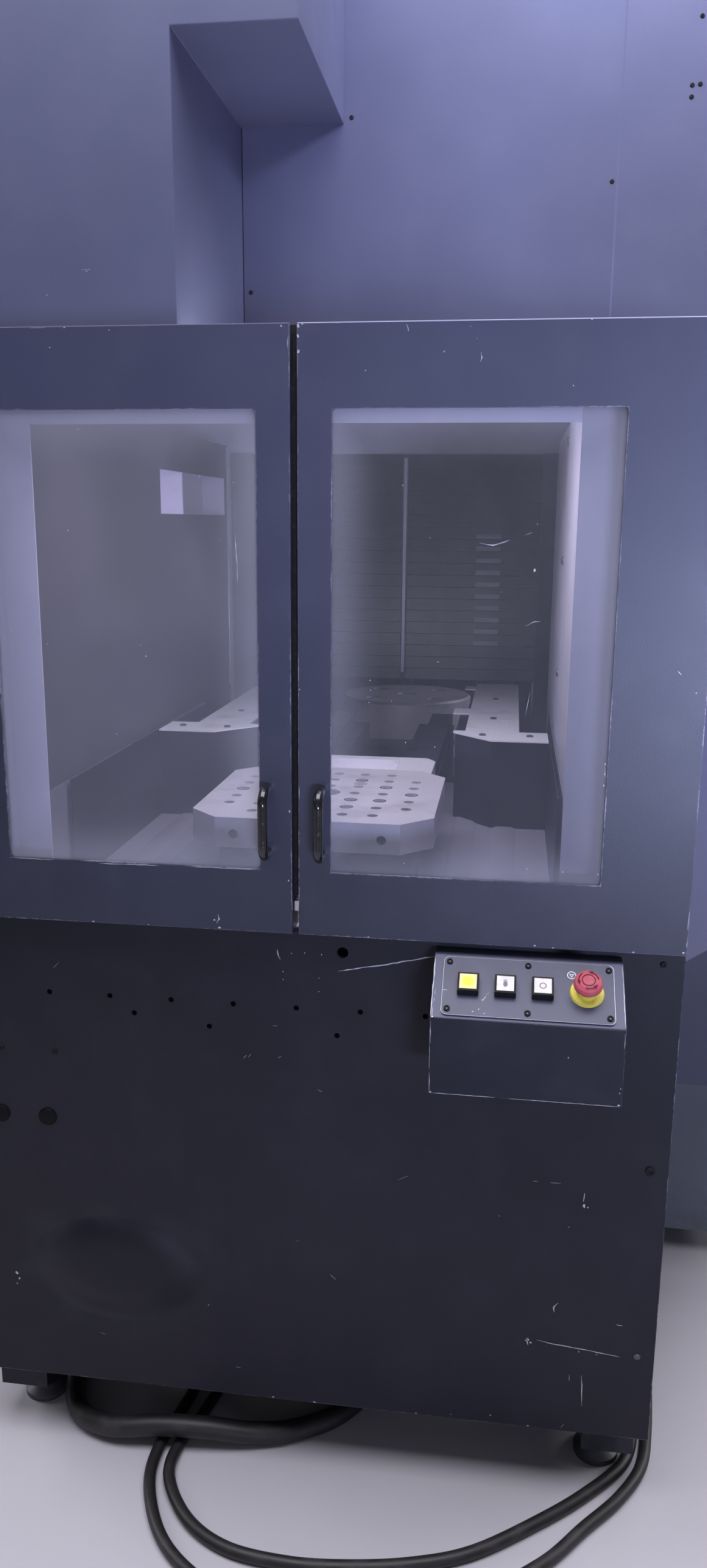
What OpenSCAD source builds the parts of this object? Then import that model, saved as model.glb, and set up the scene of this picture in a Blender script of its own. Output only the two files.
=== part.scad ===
// Horizontal machining centre seen from its pallet loading station.
// X runs along the loading doors, Y runs into the machine, Z is up, in millimetres.
// Inside the modules y = 0 is the front face of the doors and x = 0 the gap between them.

/* [Loading doors] */
// Height of the door leaves
door_h = 845; // [700:5:900]
// Thickness of a door leaf
door_t = 40; // [36:1:46]
// Gap between the two leaves
door_gap = 10; // [8:1:24]
// Height of the doors' lower edge above the floor
door_z = 967; // [940:1:1000]
// Sheet thickness of the door's front lip round the window
door_skin = 3; // [2:0.5:5]
// Door frame beside the window on the handle side
stile_in = 47; // [40:0.5:70]
// Door frame beside the window on the hinge side
stile_out = 124.5; // [90:0.5:150]
// Door frame under the window
rail_low = 97; // [80:1:140]
// Door frame over the window
rail_high = 107; // [80:1:140]
// Radius of the window's corners
window_r = 6; // [2:1:20]
// Thickness of a window pane
pane_t = 6; // [4:1:10]
// How far a pane reaches behind the lip
pane_lap = 14; // [8:1:25]

/* [Door handles and hinges] */
// Diameter of the bow handle's bar
bar_d = 14; // [10:1:18]
// Distance between the handle's two legs
handle_span = 96; // [80:1:140]
// Reach of the handle in front of the door
handle_reach = 45; // [35:1:60]
// Distance of the handle from the leaf's free edge
handle_inset = 34.5; // [22:0.5:36]
// Height of the handle's middle above the door's lower edge
handle_up = 172; // [120:1:400]
// Diameter of a hinge pin
pin_d = 10; // [8:1:12]
// Distance of the hinge axis from the leaf's outer edge
hinge_inset = 14.5; // [13.5:0.5:18]
// Distance of each hinge from the leaf's end
hinge_end = 90; // [60:5:200]
// Thickness of a hinge ear
ear_t = 10; // [8:1:14]
// Opening angle of the doors that the hinge pockets allow
door_open = 105; // [80:1:105]

/* [Lower front panel] */
// Width of the lower front panel, which sets the station's width
skirt_w = 1128; // [1060:2:1160]
// How far the lower panel stands out beyond the doors' outer edges
skirt_side = 4.5; // [3:0.5:8]
// Setback of the panel behind the doors
skirt_y = 30; // [20:1:40]
// Height of the panel's lower edge above the floor
skirt_z = 131; // [100:1:180]
// Gap between the panel and the doors
skirt_gap = 7; // [5:1:12]
// Sheet thickness of the lower front panel
skirt_t = 3; // [2:0.5:4]
// Depth of the panel's folded sides
skirt_fold = 45; // [30:1:60]
// Pitch of the row of small holes
hole_pitch = 98.5; // [80:0.5:110]
// Diameter of the small holes
hole_d = 7; // [5:0.5:10]
// Diameter of the cable hole near the doors
cable_hole_d = 17; // [12:1:24]
// Diameter of the blanking plugs
plug_d = 30; // [24:1:40]

/* [Push-button box] */
// Width of the button box
box_w = 268; // [250:1:300]
// Left end of the box from the door gap
box_x = 206; // [150:1:230]
// Height of the box's lower edge
box_z = 774; // [740:1:790]
// Height of the vertical front face
box_front_h = 115; // [90:1:130]
// Rise of the sloping button face
box_rise = 60; // [50:1:75]
// Reach of the box in front of the doors
box_reach = 88; // [80:1:100]
// Sheet thickness of the box
box_t = 2.5; // [2:0.5:4]
// Side of a square button bezel
bezel_w = 30; // [28:1:34]
// Pitch of the square buttons
button_pitch = 52; // [44:1:56]
// Diameter of the emergency stop head
stop_d = 40; // [34:1:44]
// Diameter of the round base under the emergency stop
collar_d = 48; // [46:1:60]
// Travel of the square buttons
button_travel = 3; // [2:0.5:4]
// Travel of the emergency stop head
stop_travel = 5; // [3:0.5:6]

/* [Loading bay] */
// Offset of the loading axis from the door gap
axis_x = -14; // [-20:1:0]
// Half width of the opening behind the doors
bay_half = 404; // [396:1:420]
// Distance of the portal's front face behind the door fronts
portal_y = 47; // [47:1:52]
// Depth of the portal's posts
portal_d = 60; // [50:1:70]
// Height of the portal's top beam
beam_h = 73; // [60:1:90]
// Far end of the side walls of the bay
wall_end_y = 1040; // [900:10:1200]
// How far the right wall runs on behind the tray
wall_past_tray = 180; // [0:10:200]
// Distance of the front wall of the cabinet from the doors
cabinet_y = 651; // [630:1:680]
// Height of the guards beside the pallet
guard_z = 1144; // [1130:1:1170]
// Half width between the guard plates
guard_half = 395; // [385:1:400]
// Half width of the passage between the guard blocks
pass_half = 206; // [203:1:215]
// Sheet thickness of walls and guards
sheet_t = 3; // [2:0.5:4]
// Height of the tray's floor
tray_z = 963; // [930:1:975]

/* [Pallet] */
// Side of the square pallet
pallet_w = 400; // [380:1:404]
// Thickness of the pallet
pallet_t = 50; // [40:1:60]
// Height of the pallet's top face
pallet_z = 1095; // [1085:1:1110]
// Distance of the pallet's middle behind the doors
pallet_y = 367; // [350:1:380]
// Cut-off of the pallet's corners
pallet_cut = 50; // [30:1:70]
// Pitch of the pallet's tapped holes
grid_pitch = 50; // [40:1:55]
// Diameter of the pallet's tapped holes
grid_d = 18; // [12:1:22]
// Diameter of the pallet's centre bore
centre_d = 50; // [40:1:60]
// Travel of the pallet from the bay to the machine table
transfer = 1533; // [1500:1:1560]

/* [Lamella shutter] */
// Distance of the shutter behind the doors
shutter_y = 1480; // [1450:5:1520]
// Height of the shutter's upper edge
shutter_top = 1728; // [1700:1:1760]
// Half width of the shutter
shutter_half = 386; // [370:1:400]
// Number of lamellas
lamellas = 19; // [12:1:24]
// Depth of a lamella
lamella_d = 12; // [8:1:16]
// Lift of the shutter
shutter_lift = 560; // [400:10:600]

/* [Cabinet] */
// Half width of the machine cabinet
cab_half = 1050; // [1030:5:1100]
// Depth of the machine cabinet
cab_d = 2850; // [2800:10:3000]
// Height of the cabinet's roof
cab_top = 2650; // [2600:10:2750]
// Height of the cabinet's lower edge
cab_z = 180; // [150:5:220]
// Depth of the folded edges of the cabinet panels
panel_d = 28; // [20:1:40]
// Seam of the front wall right of the door gap
seam_x = 450; // [420:5:500]
// Front face of the hood behind the doors
hood_y = 211; // [190:1:240]
// Right side of the hood's column from the door gap
hood_col_x = -218; // [-240:1:-200]
// Right side of the hood's upper box from the door gap
hood_box_x = -32; // [-60:1:0]
// Underside of the hood's upper box
hood_z = 2246; // [2200:1:2300]

/* [Axes] */
// Travel of the table along Y
table_travel = 500; // [400:10:520]
// Travel of the column to each side
column_travel = 280; // [200:10:300]
// Travel of the spindle head along Z
head_travel = 500; // [400:10:520]
// Height of the spindle's middle in its lowest place
spindle_z = 1205; // [1200:1:1240]
// Distance of the spindle's nose behind the doors
nose_y = 2550; // [2540:1:2600]
// Diameter of the spindle's nose
nose_d = 150; // [130:2:160]
// Diameter of the rotary table's top
table_d = 390; // [360:2:400]

/* [Tool magazine] */
// Number of tool forks
pockets = 20; // [12:1:20]
// Radius of the ring of tools
ring_r = 280; // [270:1:300]
// Advance of the magazine towards the spindle
magazine_advance = 110; // [100:1:115]
// Distance of the magazine's shaft below the roof
ring_drop = 665; // [650:1:680]
// Diameter of a tool holder's flange
flange_d = 63; // [56:1:63]

/* [Hidden] */
$fn = 48;

// Small gap that keeps neighbours apart
air = 0.3;
// Running clearance between a pin and its hole
run = 0.05;
// Depth that a cut runs past a face
past = 1;

paint = "#3b3d49";
light_grey = "#9a97a6";
machined = "#b3adbb";

door_top = door_z + door_h;
leaf_x0 = door_gap / 2;
skirt_half = skirt_w / 2;
leaf_x1 = skirt_half - skirt_side;
win_x0 = leaf_x0 + stile_in;
win_x1 = leaf_x1 - stile_out;
win_z0 = door_z + rail_low;
win_z1 = door_top - rail_high;
hinge_x = leaf_x1 - hinge_inset;
hinge_y = door_t / 2;
hinge_zs = [door_z + hinge_end, door_top - hinge_end];
pocket_r = hinge_y - 7;
handle_x = leaf_x0 + handle_inset;
handle_z = door_z + handle_up;

skirt_top = door_z - skirt_gap;
row_z = skirt_top - 124;

slope_drop = box_reach + 1;
fold_z = box_z + box_front_h;
slope_len = sqrt(slope_drop * slope_drop + box_rise * box_rise);
slope_angle = atan2(box_rise, slope_drop);
plate_side = 14.5;
plate_margin = 5.5;
plate_t = 2.5;

portal_half = skirt_half - skirt_side + 1;
frame_half = portal_half - 12;
portal_z0 = door_z - 67;
bay_top = door_top - beam_h;
bay_x0 = axis_x - bay_half;
bay_x1 = axis_x + bay_half;
tray_lip_z = guard_z - 4;

pallet_z0 = pallet_z - pallet_t;
slide_z = pallet_z0 - air;
table_y = pallet_y + transfer;

cab_y1 = cabinet_y + cab_d;
tank_d = 620;
rear_y = cab_y1 + tank_d;
control_reach = 110;
front_y = -box_reach;
mid_x = control_reach / 2;
mid_y = (rear_y + front_y) / 2;

foot_top = 60;
bed_half = 900;
bed_y0 = cabinet_y + 69;
bed_y1 = cab_y1 - 80;
bed_top = 420;
table_bed_top = 560;
column_bed_top = 640;
table_bed_half = 330;
column_y0 = nose_y + 240;
column_d = 440;
column_y1 = column_y0 + column_d;
column_half = 330;
column_drop = 260;
head_up = 380;
head_shoulder = 330;
head_low = 60;
rail_w = 45;
rail_h = 40;
table_rail_x = 230;
column_rail_in = 60;

slat_h = (shutter_top - guard_z) / lamellas;
doorway_setback = 1000;
doorway_w = 900;
doorway_y0 = cabinet_y + doorway_setback;
doorway_y1 = doorway_y0 + doorway_w;
doorway_z0 = 760;
doorway_z1 = 2150;
hose_d = 20;
drain_d = 36;
gland_z = 90;
socket_y = bed_y0 - 26;

// Places a module's geometry so that the middle of the footprint is the origin.
module placed() {
  translate([-mid_x, -mid_y, 0]) children();
}

module block(x0, x1, y0, y1, z0, z1) {
  translate([x0, y0, z0]) cube([x1 - x0, y1 - y0, z1 - z0]);
}

// Repeats its children mirrored about the plane x = at.
module both_sides(at = 0) {
  children();
  translate([2 * at, 0, 0]) mirror([1, 0, 0]) children();
}

// A rounded rectangle in the XZ plane, extruded from y0 to y1.
module round_slab(x0, x1, z0, z1, y0, y1, r) {
  translate([0, y1, 0]) rotate([90, 0, 0]) linear_extrude(y1 - y0) difference() {
    translate([x0, z0]) square([x1 - x0, z1 - z0]);
    for (c = [[x0, z0, 0], [x1, z0, 90], [x1, z1, 180], [x0, z1, 270]])
      translate([c[0], c[1]]) rotate(c[2]) difference() {
        square(2 * r, center = true);
        translate([r, r]) circle(r, $fn = 24);
      }
  }
}

// A sheet tray that faces -Y: a face with folded edges behind it.
module tray_y(x0, x1, y, z0, z1, deep, t) {
  difference() {
    block(x0, x1, y, y + deep, z0, z1);
    block(x0 + t, x1 - t, y + t, y + deep + past, z0 + t, z1 - t);
  }
}

// A sheet tray that faces +X, with its face at x.
module tray_x(x, y0, y1, z0, z1, deep, t) {
  difference() {
    block(x - deep, x, y0, y1, z0, z1);
    block(x - deep - past, x - t, y0 + t, y1 - t, z0 + t, z1 - t);
  }
}

// The right door leaf with its window opening, pane seat and hinge pockets.
module door_leaf() {
  difference() {
    union() {
      block(leaf_x0, leaf_x1, 0, door_t, door_z, door_top);
      block(leaf_x0, leaf_x1, 0, door_t - 10, door_top - 2, door_top);
    }
    round_slab(win_x0, win_x1, win_z0, win_z1, -past, door_skin + past, window_r);
    block(win_x0 - pane_lap, win_x1 + pane_lap, door_skin, door_t + past,
          win_z0 - pane_lap, win_z1 + pane_lap);
    for (z = hinge_zs) {
      block(hinge_x - pocket_r, leaf_x1 + past, hinge_y - pocket_r, door_t + past,
            z - ear_t / 2 - 0.5, z + ear_t / 2 + 0.5);
      translate([hinge_x, hinge_y, z - 30]) cylinder(d = pin_d + 2 * run, h = 60);
    }
    for (s = [-1, 1])
      translate([handle_x, -past, handle_z + s * handle_span / 2]) rotate([-90, 0, 0])
        cylinder(d = 6.4, h = door_t + 2 * past, $fn = 24);
  }
}

module pane() {
  block(win_x0 - pane_lap + 1, win_x1 + pane_lap - 1, door_skin + air, door_skin + air + pane_t,
        win_z0 - pane_lap + 1, win_z1 + pane_lap - 1);
}

// The bow handle: two legs, two quarter bends and a straight grip.
module bow_handle() {
  bend = 18;
  reach = handle_reach - bar_d / 2;
  translate([handle_x, 0, handle_z]) {
    for (s = [-1, 1]) {
      translate([0, -air, s * handle_span / 2]) rotate([90, 0, 0])
        cylinder(d = bar_d, h = reach - bend - air, $fn = 32);
      translate([0, -(reach - bend), s * (handle_span / 2 - bend)]) rotate([0, 90, 0])
        rotate([0, 0, s > 0 ? 180 : 270]) rotate_extrude(angle = 90, $fn = 48)
          translate([bend, 0]) circle(d = bar_d, $fn = 32);
    }
    translate([0, -reach, -(handle_span / 2 - bend)])
      cylinder(d = bar_d, h = handle_span - 2 * bend, $fn = 32);
  }
}

module right_door() { color(paint) placed() door_leaf(); }
module left_door() { color(paint) placed() mirror([1, 0, 0]) door_leaf(); }
module right_window() { color("#b9b6c8", 0.5) placed() pane(); }
module left_window() { color("#b9b6c8", 0.5) placed() mirror([1, 0, 0]) pane(); }
module right_handle() { color("#101014") placed() bow_handle(); }
module left_handle() { color("#101014") placed() mirror([1, 0, 0]) bow_handle(); }

// Four ears on the portal, each with the pin that a door turns on.
module hinge_pins() {
  color("#55565f") placed() both_sides() for (z = hinge_zs) {
    translate([hinge_x, hinge_y, z - ear_t / 2]) cylinder(r = pocket_r - 1.5, h = ear_t);
    block(hinge_x - 8, hinge_x + 8, hinge_y, portal_y - air, z - ear_t / 2, z + ear_t / 2);
    translate([hinge_x, hinge_y, z - 28]) cylinder(d = pin_d, h = 56);
  }
}

// Interlock block behind the door gap, with the bolt that the leaves close on.
module door_lock() {
  color("#c9c7d2") placed() {
    block(-12, 12, door_t + 1.5, portal_y + 22, tray_z + air, door_z + 56);
    block(-leaf_x0 + 1.5, leaf_x0 - 1.5, 12, door_t + 1.5, door_z + 32, door_z + 47);
  }
}

// Lower front panel, with a folded side at each end and its holes.
module front_skirt() {
  color("#24242d") placed() difference() {
    tray_y(-skirt_half, skirt_half, skirt_y, skirt_z, skirt_top, skirt_fold, skirt_t);
    block(-skirt_half + skirt_t, skirt_half - skirt_t, portal_y - air, skirt_y + skirt_fold + past,
          portal_z0 - 5, skirt_top + past);
    for (i = [-4:2]) hole_y(i * hole_pitch - 5, row_z, hole_d);
    for (p = [[-262, 26], [-142, 40], [58, 41]]) hole_y(p[0], row_z - p[1], hole_d);
    hole_y(66, skirt_top - 30, cable_hole_d);
    for (x = plug_xs) hole_y(x, plug_z, plug_d - 8);
  }
}

plug_side = 71;
plug_pitch = 79;
plug_xs = [-skirt_half + plug_side, -skirt_half + plug_side + plug_pitch];
plug_z = skirt_top - 341;

module hole_y(x, z, d) {
  translate([x, skirt_y - past, z]) rotate([-90, 0, 0]) cylinder(d = d, h = skirt_t + 2 * past);
}

// Blanking plugs with a domed face and a snap stem.
module blank_plugs() {
  color("#1b1b21") placed() for (x = plug_xs) translate([x, skirt_y - air, plug_z]) rotate([90, 0, 0]) {
    rotate_extrude() polygon([[0, 0], [plug_d / 2, 0], [plug_d / 2, 1.2], [plug_d / 2 - 2, 3], [0, 3.6]]);
    translate([0, 0, -8]) cylinder(d = plug_d - 8.4, h = 8.1);
  }
}

// Section of the button box, outside or inside, in the YZ plane.
function box_section(t) = [
  [skirt_y - air - t * 0, box_z + t],
  [-box_reach + t, box_z + t],
  [-box_reach + t, fold_z - t * 0.55],
  [-box_reach + slope_drop + t * 0.35, fold_z + box_rise - t],
  [skirt_y - air, fold_z + box_rise - t]
];

module box_solid(x0, x1, t) {
  translate([x0, 0, 0]) rotate([90, 0, 90]) linear_extrude(x1 - x0) polygon(box_section(t));
}

module button_box() {
  color(paint) placed() difference() {
    box_solid(box_x, box_x + box_w, 0);
    box_solid(box_x + box_t, box_x + box_w - box_t, box_t);
    block(box_x + box_t, box_x + box_w - box_t, skirt_y - air - past, skirt_y + past,
          box_z + box_t, fold_z + box_rise - box_t);
    on_slope() for (c = button_places) translate([c, 0, -9]) cylinder(d = 24, h = 12);
  }
}

// Places children on the middle line of the sloping face, x from the box's left end.
module on_slope() {
  translate([box_x, -box_reach + slope_drop / 2, fold_z + box_rise / 2]) rotate([slope_angle, 0, 0])
    children();
}

first_button = 50.5;
stop_x = 215.5;
button_places = [first_button, first_button + button_pitch, first_button + 2 * button_pitch, stop_x];
plate_z = air;
face_z = plate_z + plate_t;

// Cover plate of the sloping face, with its rounded corners and button holes.
module button_plate() {
  plate_w = box_w - 2 * plate_side;
  plate_h = slope_len - 2 * plate_margin;
  color("#34363f") placed() on_slope() difference() {
    translate([plate_side, -plate_h / 2, plate_z]) linear_extrude(plate_t) difference() {
      square([plate_w, plate_h]);
      for (c = [[0, 0, 0], [plate_w, 0, 90], [plate_w, plate_h, 180], [0, plate_h, 270]])
        translate([c[0], c[1]]) rotate(c[2]) difference() {
          square(16, center = true);
          translate([8, 8]) circle(8, $fn = 24);
        }
    }
    for (c = button_places) translate([c, 0, -past]) cylinder(d = 23, h = plate_t + 3);
  }
}

// Square bezels with the barrel that passes through the plate.
module button_bezels() {
  color("#131316") placed() on_slope() for (i = [0:2]) translate([button_places[i], 0, face_z + air])
    difference() {
      union() {
        translate([-bezel_w / 2, -bezel_w / 2, 0]) cube([bezel_w, bezel_w, 9]);
        translate([0, 0, -12]) cylinder(d = 22, h = 12.1);
      }
      translate([-lens_w / 2 - 0.5, -lens_w / 2 - 0.5, 2]) cube([lens_w + 1, lens_w + 1, 9]);
      translate([0, 0, -8]) cylinder(d = 8 + 2 * run, h = 12);
    }
}

lens_w = 25;

// A square button cap on the stem that guides it, proud of its bezel by its travel.
module square_cap(i) {
  placed() on_slope() translate([button_places[i], 0, face_z + air]) {
    translate([-lens_w / 2, -lens_w / 2, 2 + button_travel + 0.5]) cube([lens_w, lens_w, 6.5]);
    translate([0, 0, -8 + button_travel + 1]) cylinder(d = 8, h = 10);
  }
}

module yellow_button() { color("#e8d820") square_cap(0); }
module hand_button() { color("#d8dcd4") square_cap(1); }
module ring_button() { color("#d8dcd4") square_cap(2); }

// Yellow round base of the emergency stop.
module stop_collar() {
  color("#d8cf3a") placed() on_slope() translate([stop_x, 0, face_z + air]) difference() {
    union() {
      cylinder(d1 = collar_d, d2 = collar_d - 3, h = 4);
      cylinder(d = 30, h = 12);
      translate([0, 0, -14]) cylinder(d = 22, h = 15);
    }
    translate([0, 0, -15]) cylinder(d = 12 + 2 * run, h = 40);
  }
}

// Red mushroom head with its stem, revolved.
module stop_button() {
  r = stop_d / 2;
  z0 = 12 + stop_travel + 1;
  color("#b83d4a") placed() on_slope() translate([stop_x, 0, face_z + air]) rotate_extrude()
    polygon([[0, -13 + stop_travel + 1], [6, -13 + stop_travel + 1], [6, z0], [r - 3, z0], [r, z0 + 3],
             [r, z0 + 7], [r - 2, z0 + 11], [r - 7, z0 + 14], [0, z0 + 15]]);
}

// Welded portal that the doors close against.
module front_portal() {
  y1 = portal_y + portal_d;
  color(light_grey) placed() difference() {
    block(-portal_half, portal_half, portal_y, y1, portal_z0, door_top);
    block(bay_x0, bay_x1, portal_y - past, y1 + past, tray_z, bay_top);
  }
}

// Lower frame of the loading station: two side cheeks with foot arches and a top plate.
module station_frame() {
  y0 = skirt_y + skirt_fold + air;
  y1 = bed_y0 - air;
  x1 = frame_half;
  cheek_top = portal_z0 - 60;
  color("#2b2c34") placed() {
    block(-x1, x1, y0, y1, cheek_top + air, portal_z0 - air);
    both_sides() difference() {
      block(x1 - 84, x1, y0, y1, foot_top, cheek_top);
      translate([x1 - 84 - past, (y0 + y1) / 2, foot_top]) rotate([0, 90, 0]) cylinder(d = 260, h = 84 + 2 * past);
    }
  }
}

lamp_y0 = 745;
lamp_y1 = 1277;
lamp_z0 = 1572;
lamp_z1 = 1660;

// Dark left wall of the bay with the cut-out of the lamp.
module left_inner_wall() {
  color("#4c4c58") placed() difference() {
    block(bay_x0 - sheet_t, bay_x0, portal_y + portal_d + air, lamp_y1 + 23, tray_z, bay_top);
    block(bay_x0 - sheet_t - past, bay_x0 + past, lamp_y0, lamp_y1, lamp_z0, lamp_z1);
  }
}

module right_inner_wall() {
  color(light_grey) placed() difference() {
    block(bay_x1, bay_x1 + sheet_t, portal_y + portal_d + air, wall_end_y + wall_past_tray, tray_z, bay_top);
    for (z = [1276, 1490, 1708]) translate([bay_x1 - past, 680, z]) rotate([0, 90, 0])
      cylinder(d = 6.6, h = sheet_t + 2 * past);
  }
}

strip_x0 = 226;
strip_x1 = 335;

// Guards of the bay: a block on each side of the pallet's way, with its inner corner
// cut off, and a thin plate in front of it.
module bay_guards() {
  cut = 78;
  x1 = guard_half - sheet_t - air;
  color("#33343d") placed() both_sides(axis_x) {
    translate([axis_x, 0, tray_z + sheet_t + air])
      linear_extrude(guard_z - sheet_t - tray_z - sheet_t - 2 * air) polygon([
        [pass_half, cabinet_y + cut], [pass_half + cut, cabinet_y], [x1, cabinet_y],
        [x1, wall_end_y - 60], [strip_x1 + 6, wall_end_y - 60], [strip_x1 + 6, shutter_y - 34],
        [strip_x0 - 6, shutter_y - 34], [strip_x0 - 6, wall_end_y - 60], [pass_half, wall_end_y - 60]
      ]);
    block(axis_x + guard_half - sheet_t, axis_x + guard_half, pallet_y - 187, cabinet_y + 92,
          tray_z + sheet_t + air, guard_z);
  }
}

// Light cover plates on the guard blocks, with the strips that run back to the shutter.
module rail_covers() {
  cut = 78;
  x1 = guard_half - sheet_t - air;
  color(machined) placed() both_sides(axis_x) translate([axis_x, 0, guard_z - sheet_t])
    linear_extrude(sheet_t) difference() {
      union() {
        polygon([[pass_half - 4, cabinet_y + cut], [pass_half - 4 + cut, cabinet_y - 2], [x1, cabinet_y - 2],
                 [x1, cabinet_y + 94], [pass_half - 4, cabinet_y + 94]]);
        translate([strip_x0, cabinet_y + 60]) square([strip_x1 - strip_x0, shutter_y - cabinet_y - 90]);
        translate([strip_x0 - 36, cabinet_y + 310]) square([60, 70]);
        translate([strip_x0 - 26, cabinet_y + 690]) square([60, 50]);
      }
      translate([strip_x0 + 14, cabinet_y + 225]) square([18, 7]);
      translate([strip_x0 + 70, cabinet_y + 225]) square([24, 7]);
    }
}

// Chip tray: a floor with its slot for the pedestal, two side upstands and raised ridges.
module chip_tray() {
  y0 = portal_y + portal_d + air;
  y1 = wall_end_y;
  x0 = bay_x0 + air;
  x1 = bay_x1 - air;
  color("#8f8a99") placed() difference() {
    union() {
      block(x0, x1, y0, y1, tray_z, tray_z + sheet_t);
      block(x0, x0 + 2, y0, y1, tray_z, tray_lip_z);
      block(x1 - 2, x1, y0, y1, tray_z, tray_lip_z);
      block(x0, x1, y0, y0 + 2, tray_z, tray_z + 60);
    }
    block(axis_x - pedestal_half - 4, axis_x + pedestal_half + 4, pallet_y - 140, y1 + past,
          tray_z - past, tray_z + sheet_t + past);
  }
}

pedestal_half = 165;

// Pedestal with the two slide tracks that carry the pallet from the bay to the shutter.
module station_pedestal() {
  y0 = pallet_y - 136;
  y1 = shutter_y + 60;
  color("#5a6270") placed() difference() {
    union() {
      translate([axis_x, y0, portal_z0 + air]) rotate([90, 0, 90]) translate([0, 0, -pedestal_half])
        linear_extrude(2 * pedestal_half) polygon([
          [0, 0], [y1 - y0, 0], [y1 - y0, slide_z - 30 - portal_z0 - air], [24, slide_z - 30 - portal_z0 - air],
          [0, slide_z - 60 - portal_z0 - air]
        ]);
      both_sides(axis_x) block(axis_x + 105, axis_x + 160, y0 + 24, y1, slide_z - 31, slide_z);
      block(axis_x - pedestal_half, axis_x + pedestal_half, bed_y0 + 10, y1, bed_top + air, portal_z0 + 40);
    }
    block(axis_x - 70, axis_x + 70, y0 + 60, y1 + past, slide_z - 75, slide_z + past);
  }
}

// Pallet with cut corners, a grid of tapped holes, a centre bore and locating holes.
module pallet() {
  h = pallet_w / 2;
  c = pallet_cut;
  color(machined) placed() translate([axis_x, pallet_y, pallet_z0]) difference() {
    linear_extrude(pallet_t) polygon([
      [-h + c, -h], [h - c, -h], [h, -h + c], [h, h - c], [h - c, h], [-h + c, h], [-h, h - c], [-h, -h + c]
    ]);
    for (i = [-3:3], j = [-3:3]) if (max(abs(i), abs(j)) > 0 && abs(i) + abs(j) < 6)
      translate([i * grid_pitch, j * grid_pitch, pallet_t - 30]) cylinder(d = grid_d, h = 30 + past, $fn = 24);
    translate([0, 0, -past]) cylinder(d = centre_d, h = pallet_t + 2 * past);
    translate([grid_pitch, 1.5 * grid_pitch, pallet_t - 12]) cylinder(d = 26, h = 12 + past);
    for (s = [-1, 1]) translate([s * 120, -h - past, pallet_t * 0.45]) rotate([-90, 0, 0])
      cylinder(d = 16, h = 25, $fn = 24);
    translate([-30, -h - past, pallet_t * 0.25]) cube([60, 7, pallet_t * 0.4]);
  }
}

// Head of the pallet shuttle, hooked to the pallet's rear edge.
module shuttle_head() {
  y0 = pallet_y + pallet_w / 2 + air;
  top = pallet_z - 12;
  color(machined) placed() difference() {
    translate([axis_x, y0, slide_z + air]) linear_extrude(top - slide_z - air) polygon([
      [-160, 0], [160, 0], [168, 12], [168, 150], [150, 180], [-150, 180], [-168, 150], [-168, 12]
    ]);
    block(axis_x - 95, axis_x + 95, y0 + 60, y0 + 150, top - 26, top + past);
  }
}

// Flared side panels from the door edges back to the cabinet.
module flared_panels() {
  x0 = leaf_x1 + 2;
  y0 = door_t + 1;
  x1 = cab_half - 34;
  y1 = cabinet_y - air;
  n = [y1 - y0, x0 - x1] / norm([y1 - y0, x0 - x1]);
  color("#3f4252") placed() both_sides() difference() {
    translate([0, 0, door_z - 27]) linear_extrude(door_h + 27) polygon([
      [x0, y0], [x1, y1], [x1 - panel_d, y1], [x1 - panel_d, y1 - 3],
      [x1 - 6, y1 - 3], [x0 - 3 * n[0], y0 - 3 * n[1]]
    ]);
    block(0, skirt_half + 1, y0 - past, skirt_y + skirt_fold + 1, door_z - 28, skirt_top + 1);
  }
}

// Front wall of the cabinet over and right of the passage, in two panels with a seam.
module front_wall_panels() {
  color("#4a4d60") placed() difference() {
    union() {
      tray_y(hood_col_x + air, seam_x - 0.5, cabinet_y, bay_top + 4, cab_top, panel_d, sheet_t);
      tray_y(seam_x + 0.5, cab_half - panel_d - 5, cabinet_y, cab_z + 260, cab_top, panel_d, sheet_t);
      tray_y(-cab_half + panel_d + 5, bay_x0 - 8, cabinet_y, cab_z + 260, door_top + 8, panel_d, sheet_t);
    }
    block(-frame_half - air, frame_half + air, cabinet_y - past, cabinet_y + panel_d + past, 0, portal_z0 + air);
  }
}

// Hood in front of the cabinet wall: a column with a wider box on top, open behind.
module hood_housing() {
  y1 = cabinet_y - air;
  x0 = -cab_half;
  z0 = door_top + 8;
  color("#464a5c") placed() difference() {
    translate([0, y1, 0]) rotate([90, 0, 0]) linear_extrude(y1 - hood_y) polygon([
      [x0, z0], [hood_col_x, z0], [hood_col_x, hood_z], [hood_box_x, hood_z], [hood_box_x, cab_top], [x0, cab_top]
    ]);
    translate([0, y1 + past, 0]) rotate([90, 0, 0]) linear_extrude(y1 - hood_y - sheet_t + past) polygon([
      [x0 + sheet_t, z0 + sheet_t], [hood_col_x - sheet_t, z0 + sheet_t], [hood_col_x - sheet_t, hood_z + sheet_t],
      [hood_box_x - sheet_t, hood_z + sheet_t], [hood_box_x - sheet_t, cab_top - sheet_t],
      [x0 + sheet_t, cab_top - sheet_t]
    ]);
  }
}

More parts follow.
